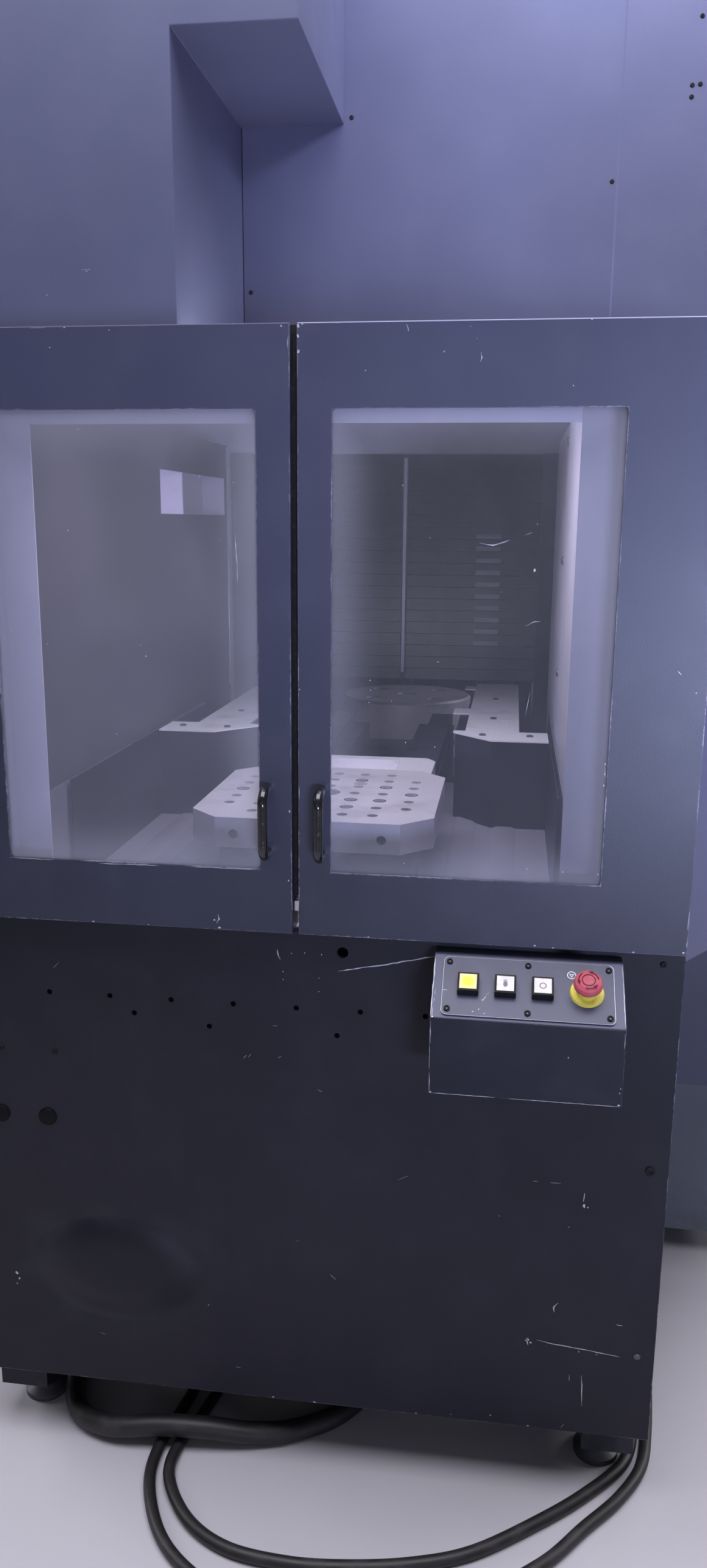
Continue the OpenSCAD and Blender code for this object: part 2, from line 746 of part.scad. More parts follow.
// Side panels: one tray on the left, two with a header and sill round the operator's doorway.
module side_panels() {
  seam = 0.4;
  y0 = cabinet_y + air;
  color("#3c3f4e") placed() {
    mirror([1, 0, 0]) tray_x(cab_half, y0, cab_y1 / 2 + y0 / 2 - seam, cab_z, cab_top, panel_d, sheet_t);
    mirror([1, 0, 0]) tray_x(cab_half, cab_y1 / 2 + y0 / 2 + seam, cab_y1, cab_z, cab_top, panel_d, sheet_t);
    tray_x(cab_half, y0, doorway_y0 - 2 * seam, cab_z, cab_top, panel_d, sheet_t);
    tray_x(cab_half, doorway_y1 + 2 * seam, cab_y1, cab_z, cab_top, panel_d, sheet_t);
    tray_x(cab_half, doorway_y0, doorway_y1, doorway_z1, cab_top, panel_d, sheet_t);
    tray_x(cab_half, doorway_y0, doorway_y1, cab_z, doorway_z0, panel_d, sheet_t);
  }
}

module roof_panel() {
  color("#3c3f4e") placed() difference() {
    block(-cab_half, cab_half, cabinet_y, cab_y1, cab_top + air, cab_top + 40);
    block(-cab_half + sheet_t, cab_half - sheet_t, cabinet_y + sheet_t, cab_y1 - sheet_t,
          cab_top + air - past, cab_top + 40 - sheet_t);
  }
}

module rear_panel() {
  color("#3c3f4e") placed() difference() {
    block(-cab_half + panel_d + 2, cab_half - panel_d - 2, cab_y1 - panel_d, cab_y1, cab_z, cab_top);
    block(-cab_half + panel_d + 5, cab_half - panel_d - 5, cab_y1 - panel_d - past, cab_y1 - sheet_t,
          cab_z + sheet_t, cab_top - sheet_t);
    for (i = [0:11]) block(-cab_half + 200, -cab_half + 560, cab_y1 - panel_d, cab_y1 + past,
                           2100 + i * 26, 2112 + i * 26);
  }
}

// Partition between the bay and the machining room, with the passage that the shutter closes.
module partition_panel() {
  y0 = shutter_y + lamella_d + 0.5;
  color("#8a8896") placed() difference() {
    block(-cab_half + panel_d + air, cab_half - panel_d - air, y0, y0 + sheet_t, bed_top + air, cab_top - 4);
    block(axis_x - shutter_half + 16, axis_x + shutter_half - 16, y0 - past, y0 + sheet_t + past,
          portal_z0 - 60, shutter_top);
    block(axis_x - pedestal_half - 6, axis_x + pedestal_half + 6, y0 - past, y0 + sheet_t + past,
          bed_top, portal_z0);
  }
}

// Shutter of stepped lamellas with a joint strip up its middle, cut from one profile.
module shutter() {
  y1 = shutter_y + lamella_d;
  pts = concat(
    [[y1, 0]],
    [for (i = [0:lamellas - 1], k = [0:1]) k == 0 ? [shutter_y, i * slat_h + 2] : [shutter_y + 6, (i + 1) * slat_h]],
    [[y1, lamellas * slat_h]]
  );
  color("#2a2b35") placed() {
    translate([axis_x - shutter_half, 0, guard_z + 2]) rotate([90, 0, 90])
      linear_extrude(2 * shutter_half) polygon(pts);
    block(axis_x + 18, axis_x + 32, shutter_y - 4, shutter_y + 7, guard_z + 4, shutter_top - 6);
  }
}

// Bed: one casting with two chip troughs, a raised table way and a raised column way.
module bed_casting() {
  trough_x0 = table_bed_half + 60;
  trough_x1 = bed_half - 120;
  trough_z = 250;
  color("#50545e") placed() difference() {
    union() {
      translate([0, bed_y1, 0]) rotate([90, 0, 0]) linear_extrude(bed_y1 - bed_y0) polygon([
        [-bed_half + 40, foot_top], [bed_half - 40, foot_top], [bed_half, foot_top + 60], [bed_half, bed_top],
        [-bed_half, bed_top], [-bed_half, foot_top + 60]
      ]);
      block(axis_x - table_bed_half, axis_x + table_bed_half, shutter_y + 120, column_y0 - 80, bed_top - past,
            table_bed_top);
      translate([-bed_half + 30, 0, 0]) rotate([90, 0, 90]) linear_extrude(2 * bed_half - 60) polygon([
        [column_y0 - 80, bed_top - 1], [column_y1 + 90, bed_top - 1], [column_y1 + 40, column_bed_top],
        [column_y0 - 40, column_bed_top]
      ]);
    }
    both_sides() translate([0, column_y0 - 130, 0]) rotate([90, 0, 0])
      linear_extrude(column_y0 - 130 - shutter_y - 60) polygon([
        [trough_x0, bed_top + past], [trough_x0 + 60, trough_z], [trough_x1 - 60, trough_z], [trough_x1, bed_top + past]
      ]);
  }
}

foot_places = [
  [portal_half - 65, 143], [-portal_half + 65, 143], [bed_half - 130, bed_y0 + 140], [-bed_half + 130, bed_y0 + 140],
  [bed_half - 130, (bed_y0 + bed_y1) / 2], [-bed_half + 130, (bed_y0 + bed_y1) / 2],
  [bed_half - 130, bed_y1 - 140], [-bed_half + 130, bed_y1 - 140], [0, bed_y1 - 140], [0, bed_y0 + 140]
];

// Levelling feet: a turned pad with its threaded stud and lock nut.
module levelling_feet() {
  color("#3a3b40") placed() for (p = foot_places) translate([p[0], p[1], 0]) {
    rotate_extrude() polygon([[0, 0], [38, 0], [38, 10], [24, 22], [10, 24], [10, foot_top - air], [0, foot_top - air]]);
    translate([0, 0, 34]) cylinder(d = 34, h = 14, $fn = 6);
  }
}

// Profiled rails of the table and of the column.
module guide_rails() {
  color("#a9acb4") placed() {
    both_sides(axis_x) block(axis_x + table_rail_x, axis_x + table_rail_x + rail_w, shutter_y + 130, column_y0 - 90,
                             table_bed_top + air, table_bed_top + rail_h);
    for (y = [column_y0 + column_rail_in, column_y1 - column_rail_in - rail_w])
      block(-bed_half + 50, bed_half - 50, y, y + rail_w, column_bed_top + air, column_bed_top + rail_h);
  }
}

// Table saddle on its four rail carriages.
module table_saddle() {
  half = 300;
  z0 = table_bed_top + 14;
  z1 = slide_z - 190;
  color("#6a6f7a") placed() difference() {
    translate([axis_x, table_y + half, 0]) rotate([90, 0, 0]) linear_extrude(2 * half) polygon([
      [-half, z0], [half, z0], [half, z0 + 110], [half - 70, z1 - 20], [half - 90, z1], [-half + 90, z1],
      [-half + 70, z1 - 20], [-half, z0 + 110]
    ]);
    both_sides(axis_x) block(axis_x + table_rail_x - 0.5, axis_x + table_rail_x + rail_w + 0.5,
                             table_y - half - past, table_y + half + past, z0 - past, table_bed_top + rail_h + 0.5);
  }
}

// Rotary table: a turned body with four clamping cones' seats in its top.
module rotary_table() {
  r = table_d / 2;
  z0 = slide_z - 190 + air;
  color("#7d828c") placed() translate([axis_x, table_y, 0]) difference() {
    rotate_extrude($fn = 72) polygon([
      [0, z0], [r - 40, z0], [r - 40, z0 + 40], [r, z0 + 70], [r, slide_z - 6], [r - 6, slide_z], [0, slide_z]
    ]);
    for (a = [45:90:315]) rotate(a) translate([130, 0, slide_z - 20]) cylinder(d = 44, h = 21);
    translate([0, 0, slide_z - 30]) cylinder(d = 60, h = 31);
  }
}

// Travelling column, tapered towards its back, with a channel for the spindle head.
module column() {
  z0 = column_bed_top + 14;
  z1 = cab_top - column_drop;
  half = column_half;
  color("#8b8f99") placed() difference() {
    translate([axis_x - half, 0, 0]) rotate([90, 0, 90]) linear_extrude(2 * half) polygon([
      [column_y0, z0], [column_y1, z0], [column_y1, z0 + 260], [column_y1 - 110, z1 - 60], [column_y1 - 150, z1],
      [column_y0, z1]
    ]);
    block(axis_x - 176, axis_x + 176, column_y0 - past, column_y0 + 190, z0 + 240, z1 - 70);
    for (y = [column_y0 + column_rail_in, column_y1 - column_rail_in - rail_w])
      block(axis_x - half - past, axis_x + half + past, y - 0.5, y + rail_w + 0.5, z0 - past,
            column_bed_top + rail_h + 0.5);
  }
}

// Spindle head: a carriage in the column's channel with the spindle barrel in front of it.
module spindle_head() {
  hw = 175.7;
  barrel_r = 98;
  y_face = nose_y + 60;
  y_carriage = column_y0 + 6;
  color("#a3a6b0") placed() difference() {
    union() {
      translate([axis_x, column_y0 + 189.6, spindle_z]) rotate([90, 0, 0])
        linear_extrude(column_y0 + 189.6 - y_carriage) polygon([
          [-hw, -head_low], [-hw + 60, -barrel_r], [hw - 60, -barrel_r], [hw, -head_low], [hw, head_shoulder],
          [hw - 50, head_up], [-hw + 50, head_up], [-hw, head_shoulder]
        ]);
      translate([axis_x, y_carriage + 1, spindle_z]) rotate([90, 0, 0]) cylinder(r = barrel_r, h = y_carriage - y_face - 30);
      translate([axis_x, y_face + 32, spindle_z]) rotate([90, 0, 0]) cylinder(r1 = barrel_r, r2 = nose_d / 2 + 12, h = 32);
    }
    translate([axis_x, column_y0 + 20, spindle_z]) rotate([90, 0, 0])
      cylinder(d = nose_d + 2 * run, h = column_y0 + 20 - nose_y + past);
  }
}

// Spindle cartridge with its nose and taper.
module spindle() {
  color("#c3c5cc") placed() translate([axis_x, nose_y, spindle_z]) rotate([-90, 0, 0]) difference() {
    rotate_extrude($fn = 64) polygon([
      [0, 0], [nose_d / 2 - 26, 0], [nose_d / 2 - 20, 8], [nose_d / 2 - 20, 30], [nose_d / 2, 34],
      [nose_d / 2, 250], [0, 250]
    ]);
    translate([0, 0, -past]) cylinder(d1 = 46, d2 = 26, h = 70);
    for (s = [0, 180]) rotate(s) translate([26, -8, -past]) cube([12, 16, 9]);
  }
}

ring_z = cab_top - ring_drop;
tool_y = nose_y - 26.5 - magazine_advance;
groove_y = tool_y + 13.5;
disc_t = 4.4;
bridge_y = groove_y + 107;
bridge_z0 = ring_z + ring_r + 110;
bridge_half = 870;

// Gantry that carries the tool magazine: two posts on the bed and a beam across them.
module magazine_bridge() {
  color("#6a6e78") placed() {
    both_sides() block(bridge_half - 80, bridge_half, bridge_y - 60, bridge_y + 60, bed_top + air, bridge_z0 - air);
    union() {
      block(-bridge_half, bridge_half, bridge_y - 60, bridge_y + 60, bridge_z0, bridge_z0 + 110);
      block(axis_x - 150, axis_x + 150, bridge_y - 60, bridge_y + 170, bridge_z0, bridge_z0 + 30);
    }
    both_sides(axis_x) block(axis_x + 80, axis_x + 116, bridge_y - 60, bridge_y + 170, bridge_z0 - 26, bridge_z0 - air);
  }
}

// Carriage that advances the magazine, hung under the beam's rails, with the disc's shaft.
module magazine_carriage() {
  color("#7f838e") placed() {
    difference() {
      block(axis_x - 130, axis_x + 130, bridge_y - 45, bridge_y + 45, bridge_z0 - 70, bridge_z0 - 0.8);
      both_sides(axis_x) block(axis_x + 79.5, axis_x + 116.5, bridge_y - 46, bridge_y + 46, bridge_z0 - 26.5, bridge_z0);
    }
    translate([0, bridge_y + 18, 0]) rotate([90, 0, 0]) linear_extrude(36) polygon([
      [axis_x - 110, bridge_z0 - 69], [axis_x - 70, ring_z], [axis_x - 48, ring_z - 52], [axis_x + 48, ring_z - 52],
      [axis_x + 70, ring_z], [axis_x + 110, bridge_z0 - 69]
    ]);
    translate([axis_x, bridge_y - 17, ring_z]) rotate([90, 0, 0]) cylinder(d = 60, h = bridge_y - 17 - groove_y + 40);
  }
}

// Tool disc: forks cut into its rim, a thicker middle with light holes and a hub.
module magazine_disc() {
  groove_r = flange_d / 2 - 5;
  color("#7c808b") placed() translate([axis_x, groove_y - disc_t / 2, ring_z]) rotate([-90, 0, 0]) difference() {
    union() {
      cylinder(r = ring_r + 14, h = disc_t, $fn = 96);
      cylinder(r = ring_r - 60, h = 18, $fn = 72);
      translate([0, 0, -16]) cylinder(d = 130, h = 50);
    }
    for (i = [0:pockets - 1]) rotate(i * 360 / pockets) translate([ring_r, 0, -past]) linear_extrude(disc_t + 2 * past) {
      circle(groove_r + 0.5);
      translate([0, -groove_r - 0.5]) square([40, 2 * groove_r + 1]);
    }
    for (i = [0:5]) rotate(i * 60 + 30) translate([142, 0, -past]) cylinder(d = 88, h = 30);
    translate([0, 0, -17]) cylinder(d = 60 + 2 * run, h = 60);
  }
}

// Tool holders with their grooved flange, taper and cutter, seated in the forks.
module tool_holders() {
  f = flange_d / 2;
  color("#c9cad0") placed() translate([axis_x, tool_y, ring_z]) rotate([-90, 0, 0])
    for (i = [0:pockets - 1]) rotate(i * 360 / pockets + 90) translate([ring_r, 0, 0]) rotate_extrude($fn = 32)
      polygon([[0, -70], [8 + 3 * (i % 3), -70], [8 + 3 * (i % 3), -20], [22, -14], [22, 2], [f, 2], [f, 8],
               [f - 5, 11], [f - 5, 16], [f, 19], [f, 26], [22, 26], [22, 28], [12.5, 92], [0, 92]]);
}

// Sliding door of the operator's side, in front of its doorway.
slider_lap = 25;
slider_t = 34;
slider_lock_side = 176;
slider_far_side = 116;
slider_sill = 491;
slider_head = 261;
slider_y0 = doorway_y0 - slider_lap;
slider_y1 = doorway_y1 + slider_lap;
slider_z0 = doorway_z0 - slider_lap;
slider_z1 = doorway_z1 + slider_lap;

module operator_door() {
  x0 = cab_half + 0.5;
  color(paint) placed() difference() {
    union() {
      block(x0, x0 + slider_t, slider_y0, slider_y1, slider_z0, slider_z1);
      translate([x0 + slider_t + 26, slider_y0 + 60, slider_z0 + 415]) cylinder(d = 20, h = 420);
      for (z = [435, 795]) translate([x0 + slider_t - 1, slider_y0 + 60, slider_z0 + z]) rotate([0, 90, 0])
        cylinder(d = 16, h = 28);
    }
    block(x0 + slider_t - 3, x0 + slider_t + 2, slider_y0 + slider_lock_side + 14, slider_y1 - slider_far_side - 14,
          slider_z0 + slider_sill + 14, slider_z1 - slider_head - 14);
    block(x0 - past, x0 + slider_t - 2.9, slider_y0 + slider_lock_side, slider_y1 - slider_far_side,
          slider_z0 + slider_sill, slider_z1 - slider_head);
  }
}

module operator_window() {
  x0 = cab_half + 0.5;
  color("#b9b6c8", 0.5) placed() block(x0 + slider_t - 12, x0 + slider_t - 3.3, slider_y0 + slider_lock_side + 1,
    slider_y1 - slider_far_side - 1, slider_z0 + slider_sill + 1, slider_z1 - slider_head - 1);
}

// Machine control on the right front corner: a sloping desk with a screen above.
module control_housing() {
  y0 = cabinet_y + 120;
  color("#6e7280") placed() difference() {
    translate([0, y0 + 560, 0]) rotate([90, 0, 0]) linear_extrude(560) polygon([
      [cab_half + air, 980], [cab_half + 60, 980], [cab_half + control_reach, 1090], [cab_half + control_reach, 1130],
      [cab_half + 60, 1240], [cab_half + 60, 1720], [cab_half + air, 1720]
    ]);
    block(cab_half + 56, cab_half + 61, y0 + 60, y0 + 500, 1300, 1640);
  }
}

// Electrical cabinet behind the machine, hollow, with its mounting plate and modules.
elec_x0 = 60;
elec_z0 = 300;
elec_drop = 400;
elec_z1 = cab_top - elec_drop;

module electrical_cabinet() {
  x0 = elec_x0;
  x1 = cab_half - 10;
  y0 = cab_y1 + air;
  y1 = rear_y - 48.8;
  color("#3c3f4e") placed() {
    difference() {
      block(x0, x1, y0, y1, elec_z0, elec_z1);
      block(x0 + 4, x1 - 4, y0 + 4, y1 + past, elec_z0 + 4, elec_z1 - 4);
    }
    block(x0 + 60, x1 - 60, y0 + 3, y0 + 40, elec_z0 + 80, elec_z1 - 80);
    for (i = [0:6]) block(x0 + 110 + i * 108, x0 + 200 + i * 108, y0 + 39, y0 + 260,
                          elec_z1 - 750, elec_z1 - 370);
    for (i = [0:4]) block(x0 + 120 + i * 150, x0 + 240 + i * 150, y0 + 39, y0 + 180,
                          elec_z0 + 400, elec_z0 + 820);
  }
}

cab_face_y = rear_y - 20;
cab_hinge_x = cab_half - 14;
switch_z = elec_z0 + 1400;

// Door of the electrical cabinet, with a folded edge, ventilation slots and the switch shaft hole.
module cabinet_door() {
  x0 = elec_x0 + 2;
  x1 = cab_half - 12;
  color(paint) placed() difference() {
    union() {
      block(x0, x1, cab_face_y - 28, cab_face_y, elec_z0 + 2, elec_z1 - 2);
      for (z = [elec_z0 + 40, (elec_z0 + elec_z1) / 2 - 75, elec_z1 - 190]) translate([cab_hinge_x, cab_face_y, z]) cylinder(r = 7, h = 120);
    }
    block(x0 + 3, x1 - 30, cab_face_y - 29, cab_face_y - 3, elec_z0 + 5, elec_z1 - 5);
    for (i = [0:9]) block(x0 + 300, x0 + 640, cab_face_y - 4, cab_face_y + past,
                          elec_z0 + 120 + i * 24, elec_z0 + 130 + i * 24);
    translate([x0 + 120, cab_face_y - 10, switch_z]) rotate([-90, 0, 0]) cylinder(d = 12 + 2 * run, h = 12);
  }
}

// Rotary main switch with its grip bar.
module main_switch() {
  color("#b83d3d") placed() translate([elec_x0 + 122, cab_face_y + air, switch_z]) rotate([-90, 0, 0]) {
    translate([0, 0, -5]) cylinder(d = 12, h = 6);
    cylinder(d = 46, h = 3.5);
    translate([-21, -7, 3]) cube([42, 14, 13]);
  }
}

// Coolant tank with its pump motors and the pocket that the conveyor stands in.
module coolant_tank() {
  x0 = -cab_half + 10;
  x1 = -40;
  y0 = cab_y1 + air;
  y1 = cab_y1 + 350;
  color("#5d616c") placed() difference() {
    union() {
      block(x0, x1, y0, y1, 30, 520);
      for (x = [x1 - 120, x1 - 320]) translate([x, (y0 + y1) / 2, 519]) {
        cylinder(d = 180, h = 25);
        cylinder(d = 140, h = 330);
        translate([0, 0, 330]) cylinder(d1 = 140, d2 = 96, h = 30);
      }
      for (x = [x0 + 60, x1 - 60], y = [y0 + 50, y1 - 50]) translate([x, y, 0]) cylinder(d = 60, h = 31);
    }
    block(x0 + 14, x0 + 26 + conveyor_w, y0 + 24, y1 + past, 50, 521);
  }
}

conveyor_w = 240;

// Chip conveyor: a flat run in the tank's pocket, a rising chute and a discharge head.
module chip_conveyor() {
  y0 = cab_y1 + 30;
  color("#4a4e5a") placed() translate([-cab_half + 30, 0, 0]) rotate([90, 0, 90]) linear_extrude(conveyor_w) polygon([
    [y0, 50 + air], [y0 + 90, 50 + air], [y0 + 530, 822], [rear_y, 822], [rear_y, 1100], [rear_y - 20, 1120],
    [y0 + 502, 1120], [y0, 250]
  ]);
}

route_half = 548.5;
route_turn = 400;

// Moves a hose point outwards with the frame's cheeks, and the points between them in step.
function outwards(x) = abs(x) > route_turn ? x + sign(x) * (frame_half - route_half)
                                           : x * (1 + (frame_half - route_half) / route_turn);

left_glands = [-300, -260];
right_glands = [590, 640];
drain_glands = [-430, 130];

// Glands on the front face of the bed that the hoses plug into.
module hose_glands() {
  color("#2e2f35") placed() {
    for (x = concat(left_glands, right_glands)) gland(outwards(x), hose_d + 8, 6);
    for (x = drain_glands) gland(outwards(x), drain_d + 14, 6);
  }
}

// A gland body with a hexagon nut at the bed's face.
module gland(x, d, nut) {
  translate([x, bed_y0 - air, gland_z]) rotate([90, 0, 0]) {
    cylinder(d = d + nut, h = 8, $fn = 6);
    cylinder(d = d, h = bed_y0 - air - socket_y);
  }
}

inner_route = [
  [-260, socket_y, gland_z], [-260, 650, 86], [-250, 560, 52], [-232, 450, 18], [-200, 320, 10.5],
  [-178, 200, 10.5], [-192, 110, 10.5], [-214, 40, 10.5], [-212, -29, 10.5], [-160, -105, 10.5],
  [-86, -148, 10.5], [10, -160, 10.5], [100, -154, 10.5], [200, -135, 10.5], [294, -100, 10.5],
  [399, -27, 10.5], [474, 36, 10.5], [537, 105, 10.5], [560, 180, 10.5], [566, 300, 10.5], [576, 450, 18],
  [586, 560, 52], [590, 650, 86], [590, socket_y, gland_z]
];

outer_route = [
  [-300, socket_y, gland_z], [-300, 650, 86], [-290, 560, 52], [-272, 450, 18], [-240, 320, 10.5],
  [-222, 200, 10.5], [-234, 100, 10.5], [-246, 40, 10.5], [-242, -40, 10.5], [-200, -130, 10.5],
  [-138, -191, 10.5], [-50, -232, 10.5], [60, -244, 10.5], [180, -232, 10.5], [290, -184, 10.5],
  [399, -106, 10.5], [467, -31, 10.5], [526, 34, 10.5], [568, 104, 10.5], [586, 190, 10.5],
  [602, 320, 10.5], [624, 450, 18], [636, 560, 52], [640, 650, 86], [640, socket_y, gland_z]
];

drain_route = [
  [-430, socket_y, gland_z], [-430, 640, 84], [-436, 530, 46], [-446, 410, 20], [-452, 290, 18.5],
  [-446, 170, 18.5], [-410, 80, 19], [-340, 42, 28], [-250, 42, 41], [-170, 48, 41], [-90, 64, 26],
  [-20, 90, 18.5], [52, 140, 18.5], [104, 230, 18.5], [128, 350, 19], [134, 470, 30], [132, 580, 62],
  [130, 650, 85], [130, socket_y, gland_z]
];

// Point of a smooth curve through p at place t between its points.
function curve_at(p, t) =
  let (n = len(p) - 1, i = min(floor(t), n - 1), u = t - i,
       a = p[max(i - 1, 0)], b = p[i], c = p[i + 1], d = p[min(i + 2, n)])
  0.5 * (2 * b + (c - a) * u + (2 * a - 5 * b + 4 * c - d) * u * u + (3 * b - a - 3 * c + d) * u * u * u);

// Tube swept along a route of points, as one closed polyhedron.
module hose(route, d, steps) {
  sides = 10;
  wide = [for (p = route) [outwards(p[0]), p[1], p[2]]];
  n = (len(route) - 1) * steps;
  pts = [for (i = [0:n]) curve_at(wide, i / steps)];
  tangent = [for (i = [0:n]) let (v = i == 0 || i == n ? [0, i == 0 ? -1 : 1, 0] : pts[i + 1] - pts[i - 1]) v / norm(v)];
  verts = [for (i = [0:n]) let (s = cross(tangent[i], [0, 0, 1]), side = s / norm(s), lift = cross(side, tangent[i]))
    for (k = [0:sides - 1]) pts[i] + d / 2 * (cos(k * 360 / sides) * side + sin(k * 360 / sides) * lift)];
  faces = concat(
    [[for (k = [0:sides - 1]) k]],
    [for (i = [0:n - 1], k = [0:sides - 1]) [i * sides + (k + 1) % sides, i * sides + k, (i + 1) * sides + k]],
    [for (i = [0:n - 1], k = [0:sides - 1])
      [i * sides + (k + 1) % sides, (i + 1) * sides + k, (i + 1) * sides + (k + 1) % sides]],
    [[for (k = [sides - 1:-1:0]) n * sides + k]]
  );
  polyhedron(verts, faces);
}

module inner_loop_hose() { color("#17171a") placed() hose(inner_route, hose_d, 1); }
module outer_loop_hose() { color("#17171a") placed() hose(outer_route, hose_d, 1); }
module drain_hose() { color("#17171a") placed() hose(drain_route, drain_d, 1); }

bed_casting();
levelling_feet();
station_frame();
front_skirt();
front_portal();
left_inner_wall();
right_inner_wall();
bay_guards();
rail_covers();
magazine_bridge();
station_pedestal();
chip_tray();
flared_panels();
front_wall_panels();
hood_housing();
side_panels();
roof_panel();
rear_panel();
partition_panel();
guide_rails();
electrical_cabinet();
coolant_tank();
chip_conveyor();
button_box();
button_plate();
button_bezels();
stop_collar();
blank_plugs();
hose_glands();
control_housing();
hinge_pins();
door_lock();
inner_loop_hose();
outer_loop_hose();
drain_hose();
left_door();
left_window();
left_handle();
right_door();
right_window();
right_handle();
pallet();
shuttle_head();
rotary_table();
table_saddle();
column();
spindle_head();
spindle();
shutter();
magazine_disc();
tool_holders();
magazine_carriage();
yellow_button();
hand_button();
ring_button();
stop_button();
operator_door();
operator_window();
cabinet_door();
main_switch();
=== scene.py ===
"""Looks of a horizontal machining centre, seen at its pallet loading station.

The CAD nodes are the frame. Sizes in the classes are millimetres on the
machine's own station: x = 0 is the gap between the loading doors, y = 0 their
front face, z = 0 the floor. `at` turns them into metres of the shared frame.
"""

import logging
import math
import random
from dataclasses import dataclass
from enum import Enum
from typing import Iterable, Optional, Sequence, Union

import bmesh
import bpy
from bmesh.types import BMesh
from bpy.types import Curve, Material, Mesh, NodeSocket, NodeTree, Object
from mathutils import Matrix, Vector


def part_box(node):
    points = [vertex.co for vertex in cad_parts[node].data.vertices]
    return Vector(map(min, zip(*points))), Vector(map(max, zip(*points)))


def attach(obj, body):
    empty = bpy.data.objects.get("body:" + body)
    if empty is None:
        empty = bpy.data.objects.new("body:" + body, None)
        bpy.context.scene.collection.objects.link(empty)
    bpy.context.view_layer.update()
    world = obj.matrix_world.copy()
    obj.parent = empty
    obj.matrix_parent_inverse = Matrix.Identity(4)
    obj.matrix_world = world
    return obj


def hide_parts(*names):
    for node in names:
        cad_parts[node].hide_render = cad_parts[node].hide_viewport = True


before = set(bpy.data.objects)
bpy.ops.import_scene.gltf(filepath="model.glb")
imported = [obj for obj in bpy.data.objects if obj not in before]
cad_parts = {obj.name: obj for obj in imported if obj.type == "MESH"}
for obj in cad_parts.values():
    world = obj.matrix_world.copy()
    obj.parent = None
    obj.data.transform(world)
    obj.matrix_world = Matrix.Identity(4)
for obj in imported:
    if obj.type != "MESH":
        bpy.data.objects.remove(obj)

LOG = logging.getLogger("machining_centre")
STATION = Vector((55.0, 2016.5, 0.0))
MM = 0.001
BACKWARD, FORWARD, UPWARD = Vector((0, 1, 0)), Vector((0, -1, 0)), Vector((0, 0, 1))
SPIN_SEED = 3
SMOOTH_ANGLE = math.radians(35)
SHARP_ANGLE = math.radians(32)
COPLANAR_ANGLE = math.radians(0.5)
BLEND_ANGLE = math.radians(62)
SHORT_EDGE = 0.004
MERGE_DISTANCE = 1e-7
SCRATCH_SEED, CHIP_SEED, RIM_SEED = 40, 70, 5
SCRATCH_STEP = 7
CHIP_CORNERS = 9
ROUTE_STEPS = 10
Colour = tuple[float, float, float]
Point = tuple[float, float, float]
Flat = tuple[float, float]
Finish = Union[Enum, Material]


def at(x: float, y: float, z: float) -> Vector:
    """Returns a station point, in millimetres, as metres in the shared frame."""
    return (Vector((x, y, z)) - STATION) * MM


def linear(red: int, green: int, blue: int) -> Colour:
    """Returns a screen colour, 0 to 255 a channel, as a linear colour."""
    return tuple(
        v / 12.92 if v <= 0.04045 else ((v + 0.055) / 1.055) ** 2.4
        for v in (c / 255 for c in (red, green, blue))
    )


def scaled(colour: Colour, factor: float) -> Colour:
    """Returns a linear colour times a factor, at most 1 a channel."""
    return tuple(min(c * factor, 1.0) for c in colour)


class Wire:
    """A shader socket whose arithmetic adds Math nodes."""

    def __init__(self, tree: NodeTree, socket: NodeSocket) -> None:
        """Keeps the tree and the socket."""
        self.tree = tree
        self.socket = socket

    def calc(self, operation: str, *others: "Wire | float") -> "Wire":
        """Adds one Math node.

        Args:
            operation: The Math node's operation.
            *others: The second and third operands.

        Returns:
            The node's result.
        """
        node = self.tree.nodes.new("ShaderNodeMath")
        node.operation = operation
        for slot, item in zip(node.inputs, (self, *others)):
            plug(self.tree, slot, item)
        return Wire(self.tree, node.outputs[0])

    def __add__(self, other: "Wire | float") -> "Wire":
        """Returns the sum."""
        return self.calc("ADD", other)

    def __sub__(self, other: "Wire | float") -> "Wire":
        """Returns the difference."""
        return self.calc("SUBTRACT", other)

    def __rsub__(self, other: float) -> "Wire":
        """Returns the reflected difference."""
        return self.calc("MULTIPLY_ADD", -1.0, other)

    def __mul__(self, other: "Wire | float") -> "Wire":
        """Returns the product."""
        return self.calc("MULTIPLY", other)

    def __abs__(self) -> "Wire":
        """Returns the absolute value."""
        return self.calc("ABSOLUTE")

    def __pow__(self, other: float) -> "Wire":
        """Returns the power."""
        return self.calc("POWER", other)

    def least(self, other: "Wire | float") -> "Wire":
        """Returns the smaller of the two."""
        return self.calc("MINIMUM", other)

    def most(self, other: "Wire | float") -> "Wire":
        """Returns the larger of the two."""
        return self.calc("MAXIMUM", other)


def plug(tree: NodeTree, slot: NodeSocket, item: object) -> None:
    """Links a wire to a socket, or sets the socket's value."""
    if isinstance(item, Wire):
        tree.links.new(item.socket, slot)
    elif hasattr(slot.default_value, "__len__") and len(slot.default_value) == 4 and len(item) == 3:
        slot.default_value = (*item, 1.0)
    else:
        slot.default_value = item


